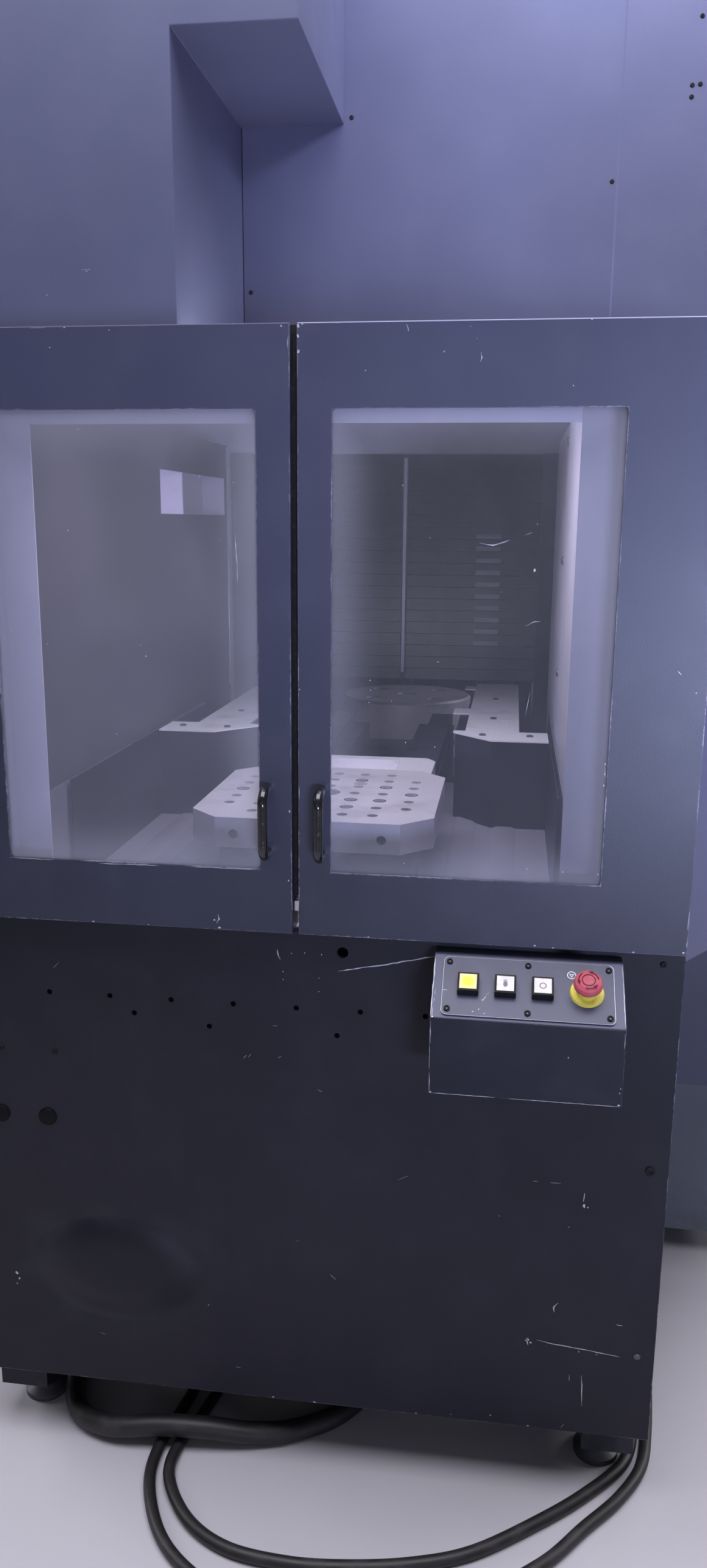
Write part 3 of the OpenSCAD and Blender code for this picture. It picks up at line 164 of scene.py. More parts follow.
class Recipe:
    """Builds the nodes of one material."""

    def __init__(self, name: str) -> None:
        """Makes an empty node material."""
        self.material = bpy.data.materials.new(name)
        self.material.use_nodes = True
        self.tree = self.material.node_tree
        self.tree.nodes.clear()
        self.spot = self.add("ShaderNodeTexCoord", out=3)

    def add(self, kind: str, settings: Optional[dict] = None, values: Optional[dict] = None,
            out: int = 0) -> Wire:
        """Adds any node.

        Args:
            kind: The node's type.
            settings: Properties set first.
            values: Socket name or index to a wire or a value.
            out: Index of the output that is returned.

        Returns:
            The chosen output.
        """
        node = self.tree.nodes.new(kind)
        for key, value in (settings or {}).items():
            setattr(node, key, value)
        for key, value in (values or {}).items():
            plug(self.tree, node.inputs[key], value)
        return Wire(self.tree, node.outputs[out])

    def axes(self) -> tuple[Wire, Wire, Wire]:
        """Returns the X, Y and Z of the object coordinates."""
        split = self.add("ShaderNodeSeparateXYZ", values={0: self.spot})
        return tuple(Wire(self.tree, socket) for socket in split.socket.node.outputs)

    def stretched(self, stretch: Point) -> Wire:
        """Returns the object coordinates scaled along each axis."""
        return self.add("ShaderNodeVectorMath", {"operation": "MULTIPLY"}, {0: self.spot, 1: stretch})

    def noise(self, scale: float, detail: float = 2.0, rough: float = 0.5,
              stretch: Point = (1, 1, 1), warp: float = 0.0) -> Wire:
        """Returns a noise from 0 to 1, its pattern scaled by stretch along each axis."""
        return self.add("ShaderNodeTexNoise", None, {
            "Vector": self.stretched(stretch), "Scale": scale, "Detail": detail, "Roughness": rough,
            "Distortion": warp})

    def cells(self, scale: float) -> Wire:
        """Returns the distance to the nearest of scattered points."""
        return self.add("ShaderNodeTexVoronoi", None, {"Vector": self.stretched((1, 1, 1)), "Scale": scale})

    def step(self, value: Wire, low: float, high: float) -> Wire:
        """Returns 0 below low and 1 above high, with a smooth rise; high may be below low."""
        return self.add("ShaderNodeMapRange", {"interpolation_type": "SMOOTHSTEP"},
                        {0: value, 1: low, 2: high})

    def mix(self, factor: Wire, first: "Wire | Colour", second: "Wire | Colour") -> Wire:
        """Returns a mix of two colours."""
        return self.add("ShaderNodeMix", {"data_type": "RGBA"}, {0: factor, 6: first, 7: second}, out=2)

    def bump(self, height: Wire, distance: float, under: Optional[Wire] = None) -> Wire:
        """Returns the normal of a height from 0 to 1 that stands for a distance in metres."""
        values = {"Height": height, "Distance": distance, "Strength": 1.0}
        if under is not None:
            values["Normal"] = under
        return self.add("ShaderNodeBump", None, values)

    def near_edges(self, low: Sequence[float], high: Sequence[float]) -> Wire:
        """Returns the distance, in metres, from a box's surface point to its nearest edge."""
        near = []
        for axis, a, b in zip(self.axes(), low, high):
            near.append((axis - a).least(b - axis).most(0.0))
        small, large = near[0].least(near[1]), near[0].most(near[1])
        return small.most(large.least(near[2]))

    def near_outline(self, low: Flat, high: Flat) -> Wire:
        """Returns the distance, in metres, to a rectangle's outline in the XZ plane."""
        x, _, z = self.axes()
        across = abs(x - (low[0] + high[0]) / 2) - (high[0] - low[0]) / 2
        up = abs(z - (low[1] + high[1]) / 2) - (high[1] - low[1]) / 2
        return abs(across.most(up))

    def surface(self, **values: object) -> Wire:
        """Returns a Principled shader; underscores in the names stand for spaces."""
        return self.add("ShaderNodeBsdfPrincipled", None,
                        {key.replace("_", " "): value for key, value in values.items()})

    def finish(self, shader: Wire) -> Material:
        """Connects the shader to the output and returns the material."""
        output = self.tree.nodes.new("ShaderNodeOutputMaterial")
        self.tree.links.new(shader.socket, output.inputs[0])
        return self.material


DUST_FILM = linear(128, 124, 138)
DUST_SPECK = linear(178, 176, 186)
# Paler tone laid over the button box's slope as painted light.
SLOPE_PAINTED_LIGHT = linear(124, 122, 152)
BARE_SHEET = linear(168, 168, 182)
# Painted highlight round the skirt's dent and painted shade in its middle.
DENT_PAINTED_HIGHLIGHT = linear(66, 70, 74)
DENT_PAINTED_SHADE = linear(16, 18, 22)
LIT_HEART = (1.0, 0.94, 0.0)
HEART_BASE = (0.9, 0.8, 0.01)
LENS_BORDER = (0.012, 0.011, 0.012)
UNLIT = (0.0, 0.0, 0.0)


@dataclass(frozen=True)
class PowderCoat:
    """Textured powder coat on sheet metal, chipped along its edges.

    Attributes:
        colour: Linear base colour.
        gloss: Roughness of the coat.
        wear: How much of the edges is worn bare, 0 to 1.
        dust: How much pale dust lies on it, 0 to 1.
        grain: Depth of the orange peel in metres.
        shine: Level of the mirror-like reflection.
    """

    colour: Colour
    gloss: float = 0.42
    wear: float = 0.5
    dust: float = 0.25
    grain: float = 0.00012
    shine: float = 0.25

    def dress(self, name: str, edges: Optional[tuple] = None, outline: Optional[tuple] = None,
              dent: Optional[tuple] = None, fade: Optional[tuple] = None,
              paler_above: Optional[float] = None) -> Material:
        """Builds the material.

        Args:
            name: Name of the material.
            edges: Corners of the box whose edges are worn.
            outline: Corners, in X and Z, of a worn cut-out.
            dent: Centre X, centre Z, half width, half height and depth of a shallow dent, with a
            painted highlight round it and painted shade in its middle.
            fade: Low Z, high Z and the colour's strength at each, painted light and shade. It follows
            the tones of the photograph, where the light falls off downwards more than the lamps give.
            paler_above: Z above which a paler tone is mixed in as painted light, as the photograph
            shows it.

        Returns:
            The material.
        """
        cook = Recipe(name)
        x, _, z = cook.axes()
        broad = cook.noise(1.6, 3)
        mottle = cook.noise(11, 4, 0.6)
        peel = cook.noise(700, 2, 0.6)
        runs = cook.noise(26, 3, 0.6, (1, 1, 0.08))
        ends = []
        for strength in (0.86, 1.14):
            tone = scaled(self.colour, strength)
            # Painted light and shade: the colour is scaled from one strength at the bottom to another at the top.
            if fade:
                tone = cook.mix(cook.step(z, *fade[:2]), *(scaled(tone, share) for share in fade[2:]))
            ends.append(tone)
        shade = cook.mix(cook.step(broad, 0.3, 0.7), *ends)
        # Painted light: the face above this height gets a paler tone.
        if paler_above:
            above = cook.step(z, paler_above, paler_above + 0.002)
            shade = cook.mix(above * 0.32, shade, SLOPE_PAINTED_LIGHT)
        film = cook.step(mottle * 0.8 + runs * 0.2, 0.42, 0.72) * self.dust
        shade = cook.mix(film * 0.5, shade, DUST_FILM)
        specks = cook.step(cook.cells(34), 0.055, 0.025) * cook.step(cook.noise(5), 0.5, 0.62)
        shade = cook.mix(specks * (0.5 * self.dust), shade, DUST_SPECK)
        bare = None
        ragged = cook.noise(95, 4, 0.7)
        patches = cook.step(cook.noise(9, 3, 0.6), 0.42, 0.66)
        lines = [cook.near_edges(*edges)] if edges else []
        lines += [cook.near_outline(*outline)] if outline else []
        for line in lines:
            rub = cook.step(line + (ragged - 0.5) * 0.006, 0.0012, 0.0001) * (patches * 0.88 + 0.12)
            bare = rub if bare is None else bare.most(rub)
        rough = mottle * 0.14 + (self.gloss - 0.07)
        metallic: "Wire | float" = 0.0
        if bare is not None:
            bare = (bare * (2 * self.wear)).least(1.0)
            shade = cook.mix(bare, shade, BARE_SHEET)
            rough = rough - bare * 0.08
            metallic = bare * 0.55
            peel = peel - bare * 0.6
        normal = cook.bump(peel, self.grain)
        if dent:
            across = (x - dent[0]) * (1 / dent[2])
            up = (z - dent[1]) * (1 / dent[3])
            away = across * across + up * up
            normal = cook.bump(cook.step(away, 1.0, 0.0), dent[4], normal)
            # Painted highlight: a lighter, patchy ring round the dent.
            rim_highlight = cook.step(away, 1.9, 1.0) * cook.step(away, 0.3, 0.8) * cook.step(mottle, 0.3, 0.7)
            shade = cook.mix(rim_highlight * 0.12, shade, DENT_PAINTED_HIGHLIGHT)
            # Painted shade: the dent's middle is darkened.
            shade = cook.mix(cook.step(away, 0.7, 0.1) * 0.35, shade, DENT_PAINTED_SHADE)
        return cook.finish(cook.surface(Base_Color=shade, Roughness=rough, Metallic=metallic,
                                        Specular_IOR_Level=self.shine, Normal=normal))


@dataclass(frozen=True)
class Machined:
    """Milled or ground steel with tool marks and stains.

    Attributes:
        colour: Linear base colour.
        lay: Stretch of the tool marks along each axis.
        stains: How strong the brown and grey stains are.
        metal: Metallic share.
        gloss: Roughness.
    """

    colour: Colour = (0.5, 0.48, 0.53)
    lay: Point = (0.04, 1, 1)
    stains: float = 0.4
    metal: float = 0.65
    gloss: float = 0.42

    def dress(self, name: str) -> Material:
        """Builds and returns the material."""
        cook = Recipe(name)
        marks = cook.noise(420, 2, 0.6, self.lay)
        broad = cook.noise(7, 4, 0.6)
        small = cook.noise(48, 4, 0.65)
        shade = cook.mix(marks, scaled(self.colour, 0.88), scaled(self.colour, 1.1))
        shade = cook.mix(cook.step(broad, 0.5, 0.75) * self.stains, shade, linear(110, 100, 104))
        shade = cook.mix(cook.step(small, 0.6, 0.75) * (0.7 * self.stains), shade, linear(84, 76, 78))
        rough = marks * 0.12 + broad * 0.14 + (self.gloss - 0.13)
        return cook.finish(cook.surface(Base_Color=shade, Roughness=rough, Metallic=self.metal,
                                        Normal=cook.bump(marks + small * 0.5, 0.00006)))


@dataclass(frozen=True)
class CastPaint:
    """Thick enamel over a sand casting."""

    colour: Colour
    gloss: float = 0.5

    def dress(self, name: str) -> Material:
        """Builds and returns the material."""
        cook = Recipe(name)
        skin = cook.noise(70, 5, 0.6)
        broad = cook.noise(2.6, 3)
        grime = cook.step(cook.noise(8, 5, 0.7), 0.5, 0.75)
        shade = cook.mix(cook.step(broad, 0.3, 0.7), scaled(self.colour, 0.85), scaled(self.colour, 1.15))
        shade = cook.mix(grime * 0.45, shade, linear(62, 56, 52))
        return cook.finish(cook.surface(Base_Color=shade, Roughness=grime * 0.2 + (self.gloss - 0.05),
                                        Normal=cook.bump(skin, 0.0006)))


@dataclass(frozen=True)
class Moulded:
    """Injection-moulded plastic or rubber.

    Attributes:
        colour: Linear base colour.
        gloss: Roughness.
        glow: Emission strength, for a lit lens.
        dust: How much pale dust lies on it.
        coat: Clear coat weight.
        shine: Level of the mirror-like reflection.
    """

    colour: Colour
    gloss: float = 0.35
    glow: float = 0.0
    dust: float = 0.2
    coat: float = 0.0
    shine: float = 0.4

    def dress(self, name: str, heart: Optional[tuple] = None,
              border: Optional[tuple] = None) -> Material:
        """Builds the material.

        Args:
            name: Name of the material.
            heart: Centre and radius, in metres, of a brighter lit middle.
            border: Centre, direction up the lens and half width, past which the lens is black.

        Returns:
            The material.
        """
        cook = Recipe(name)
        fine = cook.noise(900, 2)
        film = cook.step(cook.noise(120, 5, 0.7), 0.45, 0.75)
        shade = cook.mix(film * self.dust, self.colour, linear(150, 142, 140))
        values = {"Base Color": shade, "Roughness": film * 0.18 + self.gloss,
                  "Normal": cook.bump(fine, 0.00003), "Coat Weight": self.coat,
                  "Specular IOR Level": self.shine}
        edge: "Wire | float" = 0.0
        if border:
            x, y, z = cook.axes()
            middle, up, half = border
            across = abs(x - middle.x)
            along = abs((y - middle.y) * up.y + (z - middle.z) * up.z)
            edge = cook.step(across.most(along), half, half + 0.0004)
        if self.glow:
            lit = cook.mix(film * 0.3, self.colour, scaled(self.colour, 0.6))
            if heart:
                away = cook.add("ShaderNodeVectorMath", {"operation": "DISTANCE"},
                                {0: cook.spot, 1: tuple(heart[0])}, out=1)
                inner = cook.step(away, heart[1], heart[1] * 0.35)
                lit = cook.mix(inner, lit, LIT_HEART)
                shade = cook.mix(inner, shade, HEART_BASE)
            values["Emission Color"] = cook.mix(edge, lit, UNLIT) if border else lit
            values["Emission Strength"] = self.glow
        values["Base Color"] = cook.mix(edge, shade, LENS_BORDER) if border else shade
        return cook.finish(cook.add("ShaderNodeBsdfPrincipled", None, values))


@dataclass(frozen=True)
class SafetyPane:
    """Clear polycarbonate with wiped coolant haze, denser towards its borders.

    Attributes:
        haze: Share of light that the film scatters.
        rim: How much more it scatters at the borders.
        film: Linear colour of the film.
    """

    haze: float = 0.09
    rim: float = 0.16
    film: Colour = (0.47, 0.46, 0.56)

    def dress(self, name: str, low: Sequence[float], high: Sequence[float]) -> Material:
        """Builds the material for a pane with these corners and returns it."""
        cook = Recipe(name)
        x, _, z = cook.axes()
        side = (x - low[0]).least(high[0] - x)
        top = (z - low[2]).least(high[2] - z)
        border = cook.step(side.least(top), 0.1, 0.0) ** 1.6
        wipes = cook.noise(9, 4, 0.6, (1, 1, 0.12), 0.4)
        clouds = cook.noise(3.4, 4, 0.6, (1, 1, 1), 0.8)
        specks = cook.step(cook.cells(60), 0.05, 0.02) * cook.step(cook.noise(7), 0.5, 0.7)
        dirt = (clouds * 0.7 + wipes * 0.25 + 0.3) * self.haze + border * self.rim
        dirt = (dirt + specks * 0.2).least(0.7)
        film = cook.surface(Base_Color=self.film, Roughness=0.6)
        clear = cook.add("ShaderNodeBsdfTransparent", None, {0: (0.93, 0.94, 0.95)})
        body = cook.add("ShaderNodeMixShader", None, {0: dirt, 1: clear, 2: film})
        gloss = cook.add("ShaderNodeBsdfAnisotropic", None, {"Roughness": 0.09})
        shine = cook.add("ShaderNodeFresnel", None, {"IOR": 1.42}) * 0.55
        return cook.finish(cook.add("ShaderNodeMixShader", None, {0: shine, 1: body, 2: gloss}))


@dataclass(frozen=True)
class HoseRubber:
    """Black rubber hose with patches of dust and faint cloth marks."""

    colour: Colour = (0.014, 0.012, 0.013)

    def dress(self, name: str) -> Material:
        """Builds and returns the material."""
        cook = Recipe(name)
        marks = cook.noise(260, 3, 0.7)
        film = cook.step(cook.noise(16, 5, 0.7), 0.45, 0.8)
        shade = cook.mix(film * 0.35, self.colour, linear(92, 86, 92))
        return cook.finish(cook.surface(Base_Color=shade, Roughness=film * 0.2 + 0.48,
                                        Normal=cook.bump(marks, 0.0003)))


@dataclass(frozen=True)
class BareMark:
    """Bright metal or primer that shows in a scratch or a chip."""

    colour: Colour = (0.42, 0.42, 0.47)

    def dress(self, name: str) -> Material:
        """Builds and returns the material."""
        cook = Recipe(name)
        tone = cook.noise(300, 3, 0.7)
        shade = cook.mix(tone, scaled(self.colour, 0.5), scaled(self.colour, 1.5))
        return cook.finish(cook.surface(Base_Color=shade, Roughness=tone * 0.2 + 0.4, Metallic=0.3))


class Paint(Enum):
    """The coats of paint on the machine."""

    DOOR = PowderCoat(linear(48, 51, 72), 0.4, 0.3, 0.05, shine=0.5)
    # The doors' paint made darker: painted shade for the skirt, which lies in shade.
    SKIRT = PowderCoat(linear(25, 25, 36), 0.42, 0.3, 0.04)
    WALL = PowderCoat(linear(78, 80, 107), 0.4, 0.2, 0.05, shine=0.5)
    HOOD = PowderCoat(linear(88, 91, 118), 0.4, 0.25, 0.05, shine=0.5)
    # Darkened as painted shade for the box's front, which lies in shade; the slope is lightened above the fold.
    BOX = PowderCoat(linear(15, 18, 33), 0.36, 0.22, 0.06, shine=0.33)
    PLATE = PowderCoat(linear(47, 47, 70), 0.36, 1.0, 0.2, shine=0.45)
    PALE = PowderCoat(linear(168, 163, 180), 0.5, 0.3, 0.8)
    TRAY = PowderCoat(linear(104, 100, 116), 0.45, 0.3, 0.6)
    SHADOW = PowderCoat(linear(72, 69, 80), 0.5, 0.3, 0.08)
    GUARD = PowderCoat(linear(9, 11, 24), 0.42, 0.6, 0.04)
    LAMELLA = PowderCoat(linear(18, 19, 34), 0.34, 0.2, 0.15, grain=0.00004)
    FRAME = PowderCoat(linear(34, 34, 42), 0.5, 0.5, 0.3)
    # A lighter copy of the pale paint: painted light for the bay's front portal, its trims and its right wall.
    BRIGHT_GREY = PowderCoat(linear(206, 200, 222), 0.5, 0.2, 0.2)
    # Pale paint of the shutter's joint strip, also used as a painted highlight on the right door's top edge.
    SEAM = PowderCoat(linear(176, 174, 196), 0.4, 0.2, 0.3)
    # Pale paint for painted highlights on the left door's top edge and on the shutter's slats.
    RUBBED = PowderCoat(linear(112, 112, 130), 0.35, 0.2, 0.8)


class Casting(Enum):
    """The enamels on the castings."""

    BED = CastPaint(linear(92, 96, 108))
    PEDESTAL = CastPaint(linear(58, 60, 74), 0.45)
    COLUMN = CastPaint(linear(150, 152, 160))
    MAGAZINE = CastPaint(linear(104, 108, 120))


class Steel(Enum):
    """The bare steels."""

    PALLET = Machined((0.62, 0.57, 0.67), (1, 1, 1), 0.35, 0.45, 0.45)
    COVER = Machined((0.74, 0.7, 0.8), (1, 0.05, 1), 0.4, 0.25, 0.4)
    RAIL = Machined((0.5, 0.5, 0.53), (1, 0.03, 1), 0.15, 0.9, 0.28)
    TOOL = Machined((0.58, 0.58, 0.6), (1, 1, 1), 0.1, 0.95, 0.25)
    DARK = Machined((0.1, 0.1, 0.11), (1, 1, 1), 0.5, 0.6, 0.45)
    BRIGHT = Machined((0.66, 0.66, 0.7), (1, 1, 1), 0.1, 0.9, 0.22)


class Plastic(Enum):
    """The plastics and rubbers."""

    BLACK = Moulded((0.012, 0.011, 0.012), 0.5, dust=0.05, shine=0.12)
    # Black for painted shade in holes, where nothing behind them is lit.
    VOID = Moulded((0.002, 0.002, 0.002), 0.95, dust=0.0, shine=0.0)
    GRIP = Moulded((0.006, 0.006, 0.007), 0.12, dust=0.04, coat=0.6)
    PLUG = Moulded((0.003, 0.003, 0.004), 0.4, dust=0.0, shine=0.12)
    YELLOW_BASE = Moulded(linear(216, 200, 84), 0.45, dust=0.3)
    # The white lenses are not lit; their small glow is painted light.
    WHITE = Moulded(linear(204, 198, 192), 0.4, glow=0.08, dust=0.3)
    RED = Moulded(linear(172, 74, 88), 0.6, dust=0.4, shine=0.25)
    RED_MARK = Moulded(linear(92, 18, 32), 0.6, dust=0.1, shine=0.1)
    GREY_MARK = Moulded(linear(122, 118, 124), 0.6, shine=0.1)
    BROWN_MARK = Moulded(linear(116, 72, 66), 0.6, shine=0.1)
    STICKER = Moulded(linear(206, 206, 218), 0.5, dust=0.3)
    SCREEN = Moulded((0.01, 0.012, 0.016), 0.08, dust=0.05, coat=0.5)
    KEY = Moulded(linear(150, 152, 158), 0.4, dust=0.15)
    LAMP = Moulded(linear(188, 180, 206), 0.6, glow=0.24, dust=0.1)
    LAMP_END = Moulded(linear(150, 146, 170), 0.6, glow=0.16, dust=0.1)


class Shop:
    """Keeps the finished materials, so that each is built once."""

    made: dict[str, Material] = {}

    @classmethod
    def get(cls, finish: Enum, tag: str = "", **details: object) -> Material:
        """Returns the material of a finish.

        Args:
            finish: A member of one of the finish enums.
            tag: Name of the piece, where the material has details of its own.
            **details: What dress() takes beside the name.

        Returns:
            The material, built on the first call.
        """
        name = f"{finish.name.lower()}_{tag}" if tag else finish.name.lower()
        if name not in cls.made:
            cls.made[name] = finish.value.dress(name, **details)
        return cls.made[name]

    @classmethod
    def of(cls, coat: Finish) -> Material:
        """Returns the shared material of a finish, or the material that is given."""
        return cls.get(coat) if isinstance(coat, Enum) else coat


def link(name: str, data: object) -> Object:
    """Links a new object with this data to the scene and returns it."""
    piece = bpy.data.objects.new(name, data)
    bpy.context.scene.collection.objects.link(piece)
    return piece


def add_piece(name: str, shape: "BMesh | Mesh", coat: Finish, body: str = "machine",
              smooth: bool = True) -> Object:
    """Links a finished shape as a piece that rides on a body.

    Args:
        name: Name of the piece.
        shape: Shape in metres in the shared frame.
        coat: Its finish or material.
        body: The CAD body that carries it.
        smooth: Whether its gentle angles are shaded smooth.

    Returns:
        The new object.
    """
    mesh = to_mesh(name, shape) if isinstance(shape, BMesh) else shape
    piece = link(name, mesh)
    mesh.materials.clear()
    mesh.materials.append(Shop.of(coat))
    if smooth:
        mesh.shade_smooth()
        mark_sharp(mesh)
    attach(piece, body)
    LOG.info("%s rides on %s: %d faces", name, body, len(mesh.polygons))
    return piece


def mark_sharp(mesh: Mesh) -> None:
    """Marks edges sharper than SMOOTH_ANGLE, so that flats stay flat."""
    work = bmesh.new()
    work.from_mesh(mesh)
    for edge in work.edges:
        edge.smooth = len(edge.link_faces) == 2 and edge.calc_face_angle(0) < SMOOTH_ANGLE
    work.to_mesh(mesh)
    work.free()


def to_mesh(name: str, work: BMesh, tidy: bool = True) -> Mesh:
    """Turns a bmesh into a mesh with outward normals, and frees it."""
    if tidy:
        bmesh.ops.remove_doubles(work, verts=work.verts, dist=MERGE_DISTANCE)
        bmesh.ops.recalc_face_normals(work, faces=work.faces)
    mesh = bpy.data.meshes.new(name)
    work.to_mesh(mesh)
    work.free()
    return mesh


def dress_node(node: str, coat: Finish) -> None:
    """Gives a CAD node its material."""
    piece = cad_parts[node]
    piece.data.materials.clear()
    piece.data.materials.append(Shop.of(coat))
    LOG.info("%s keeps its CAD mesh", node)


def dress_nodes(**coats: Finish) -> None:
    """Gives each named CAD node its finish."""
    for node, coat in coats.items():
        dress_node(node, coat)


def flatten_shading(mesh: Mesh) -> None:
    """Gives corners beside a large face that face's normal, so that flats shade flat."""
    best: dict = {}
    for face in mesh.polygons:
        for index in face.vertices:
            area, _, rival = best.get(index, (0.0, None, 0.0))
            if face.area > area:
                best[index] = (face.area, face.normal.copy(), area)
            elif face.area > rival:
                best[index] = (area, best[index][1], face.area)
    normals = [None] * len(mesh.loops)
    for face in mesh.polygons:
        for loop in face.loop_indices:
            index = mesh.loops[loop].vertex_index
            area, normal, rival = best[index]
            near = mesh.vertices[index].normal if area < rival * 1.5 else normal
            normals[loop] = near if near.angle(face.normal, 0) < BLEND_ANGLE else face.normal.copy()
    mesh.normals_split_custom_set(normals)


def ease_edges(work: BMesh, edges: list, width: float) -> None:
    """Rounds edges a little, over a width in millimetres."""
    bmesh.ops.bevel(work, geom=edges, offset=width * MM, segments=2, profile=0.6, affect="EDGES",
                    clamp_overlap=True)


def eased(node: str, coat: Finish, width: float, body: str = "machine") -> None:
    """Stands for a sheet-metal node with a copy whose sharp edges are eased.

    Args:
        node: The CAD node.
        coat: Its finish or material.
        width: Width of the eased edge in millimetres.
        body: The body that carries it.
    """
    work = bmesh.new()
    work.from_mesh(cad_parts[node].data)
    bmesh.ops.remove_doubles(work, verts=work.verts, dist=10 * MERGE_DISTANCE)
    bmesh.ops.dissolve_limit(work, angle_limit=COPLANAR_ANGLE, verts=work.verts, edges=work.edges)
    ease_edges(work, [e for e in work.edges if len(e.link_faces) == 2 and e.calc_face_angle(0) > SHARP_ANGLE
                      and e.calc_length() > SHORT_EDGE], width)
    mesh = to_mesh(node + "_skin", work, tidy=False)
    piece = add_piece(node + "_skin", mesh, coat, body)
    flatten_shading(mesh)
    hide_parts(node)


def circle(radius: float, sides: int, start: float = 0.0) -> list[Flat]:
    """Returns points (x, y), in metres, round a circle of a radius in millimetres."""
    angles = (math.tau * k / sides + start for k in range(sides))
    return [(radius * MM * math.cos(a), radius * MM * math.sin(a)) for a in angles]


def turned(profile: Sequence[Flat], sides: int = 24) -> BMesh:
    """Revolves a profile of (radius, height) in millimetres about Z and closes both ends."""
    work = bmesh.new()
    join_rings(work, [[work.verts.new((x, y, height * MM)) for x, y in circle(radius, sides)]
                      for radius, height in profile])
    return work


def join_rings(work: BMesh, rings: list, capped: bool = True) -> None:
    """Joins rings of vertices into a tube, with a face over each end if capped."""
    for low, high in zip(rings, rings[1:]):
        for k in range(len(low)):
            n = (k + 1) % len(low)
            work.faces.new((low[k], low[n], high[n], high[k]))
    if capped:
        work.faces.new(list(reversed(rings[0])))
        work.faces.new(rings[-1])


def strip(work: BMesh, rows: list) -> None:
    """Joins pairs of vertices into a flat ribbon."""
    for low, high in zip(rows, rows[1:]):
        work.faces.new((low[0], low[1], high[1], high[0]))


def flat_ring(inner: float, outer: float, sides: int, start: float = 0.0) -> BMesh:
    """Makes a thin flat ring, radii in millimetres, its first corner at an angle in degrees."""
    work = bmesh.new()
    turn = math.radians(start)
    pairs = [[work.verts.new((x, y, 0)) for x, y in pair]
             for pair in zip(circle(inner, sides, turn), circle(outer, sides, turn))]
    strip(work, pairs + pairs[:1])
    return work


def square_rim(inner: float, outer: float, low: float, high: float) -> BMesh:
    """Makes a square rim from its inner and outer half widths and its heights, in millimetres."""
    work = bmesh.new()
    loops = [[work.verts.new((x * half * MM, y * half * MM, height * MM))
              for x, y in ((1, 1), (-1, 1), (-1, -1), (1, -1))]
             for half, height in ((inner, low), (outer, low), (outer, high), (inner, high))]
    join_rings(work, loops + loops[:1], capped=False)
    return work


def arc_arrow(inner: float, outer: float, start: float, stop: float) -> BMesh:
    """Makes a flat curved arrow between two angles in degrees."""
    work = bmesh.new()
    middle, half = (inner + outer) / 2, (outer - inner) / 2
    rows = []
    count, tip = 10, 3
    for k in range(count + 1):
        a = math.radians(start + (stop - start) * k / count)
        thick = half * (0.55 if k < count - tip else 1.7 * (count - k) / tip + 0.02)
        rows.append([work.verts.new((r * MM * math.cos(a), r * MM * math.sin(a), 0))
                     for r in (middle - thick, middle + thick)])
    strip(work, rows)
    return work


def palm() -> BMesh:
    """Makes a small upright oval with three strokes over it."""
    work = bmesh.new()
    work.faces.new([work.verts.new((3.1 * MM * math.cos(a), 4.6 * MM * math.sin(a) - 1.2 * MM, 0))
                    for a in (math.tau * k / 18 for k in range(18))])
    for x, top in ((-1.9, 6.2), (0.0, 7.0), (1.9, 6.2)):
        work.faces.new([work.verts.new((x0 * MM, y0 * MM, 0)) for x0, y0 in
                        ((x - 0.55, 2.0), (x + 0.55, 2.0), (x + 0.55, top), (x - 0.55, top))])
    return work


def socket_screw(radius: float, height: float, key: float) -> BMesh:
    """Makes a screw head with a hexagon socket, standing on z = 0, sizes in millimetres."""
    work = bmesh.new()
    sides = 24
    rings = [[work.verts.new((x, y, z * MM)) for x, y in circle(size, sides)]
             for size, z in ((radius, -0.6), (radius, height * 0.7), (radius * 0.82, height))]
    for z in (height, height * 0.35):
        ring = []
        for k in range(sides):
            a = math.tau * k / sides
            r = key / math.cos((a % (math.pi / 3)) - math.pi / 6) * MM
            ring.append(work.verts.new((r * math.cos(a), r * math.sin(a), z * MM)))
        rings.append(ring)
    join_rings(work, rings)
    return work


def cross_screw(radius: float, height: float) -> BMesh:
    """Makes a domed screw head with a cut middle, sizes in millimetres."""
    return turned([(radius, -0.4), (radius, height * 0.25), (radius * 0.86, height * 0.72),
                   (radius * 0.5, height), (radius * 0.46, height * 0.55), (radius * 0.1, height * 0.5)], 16)


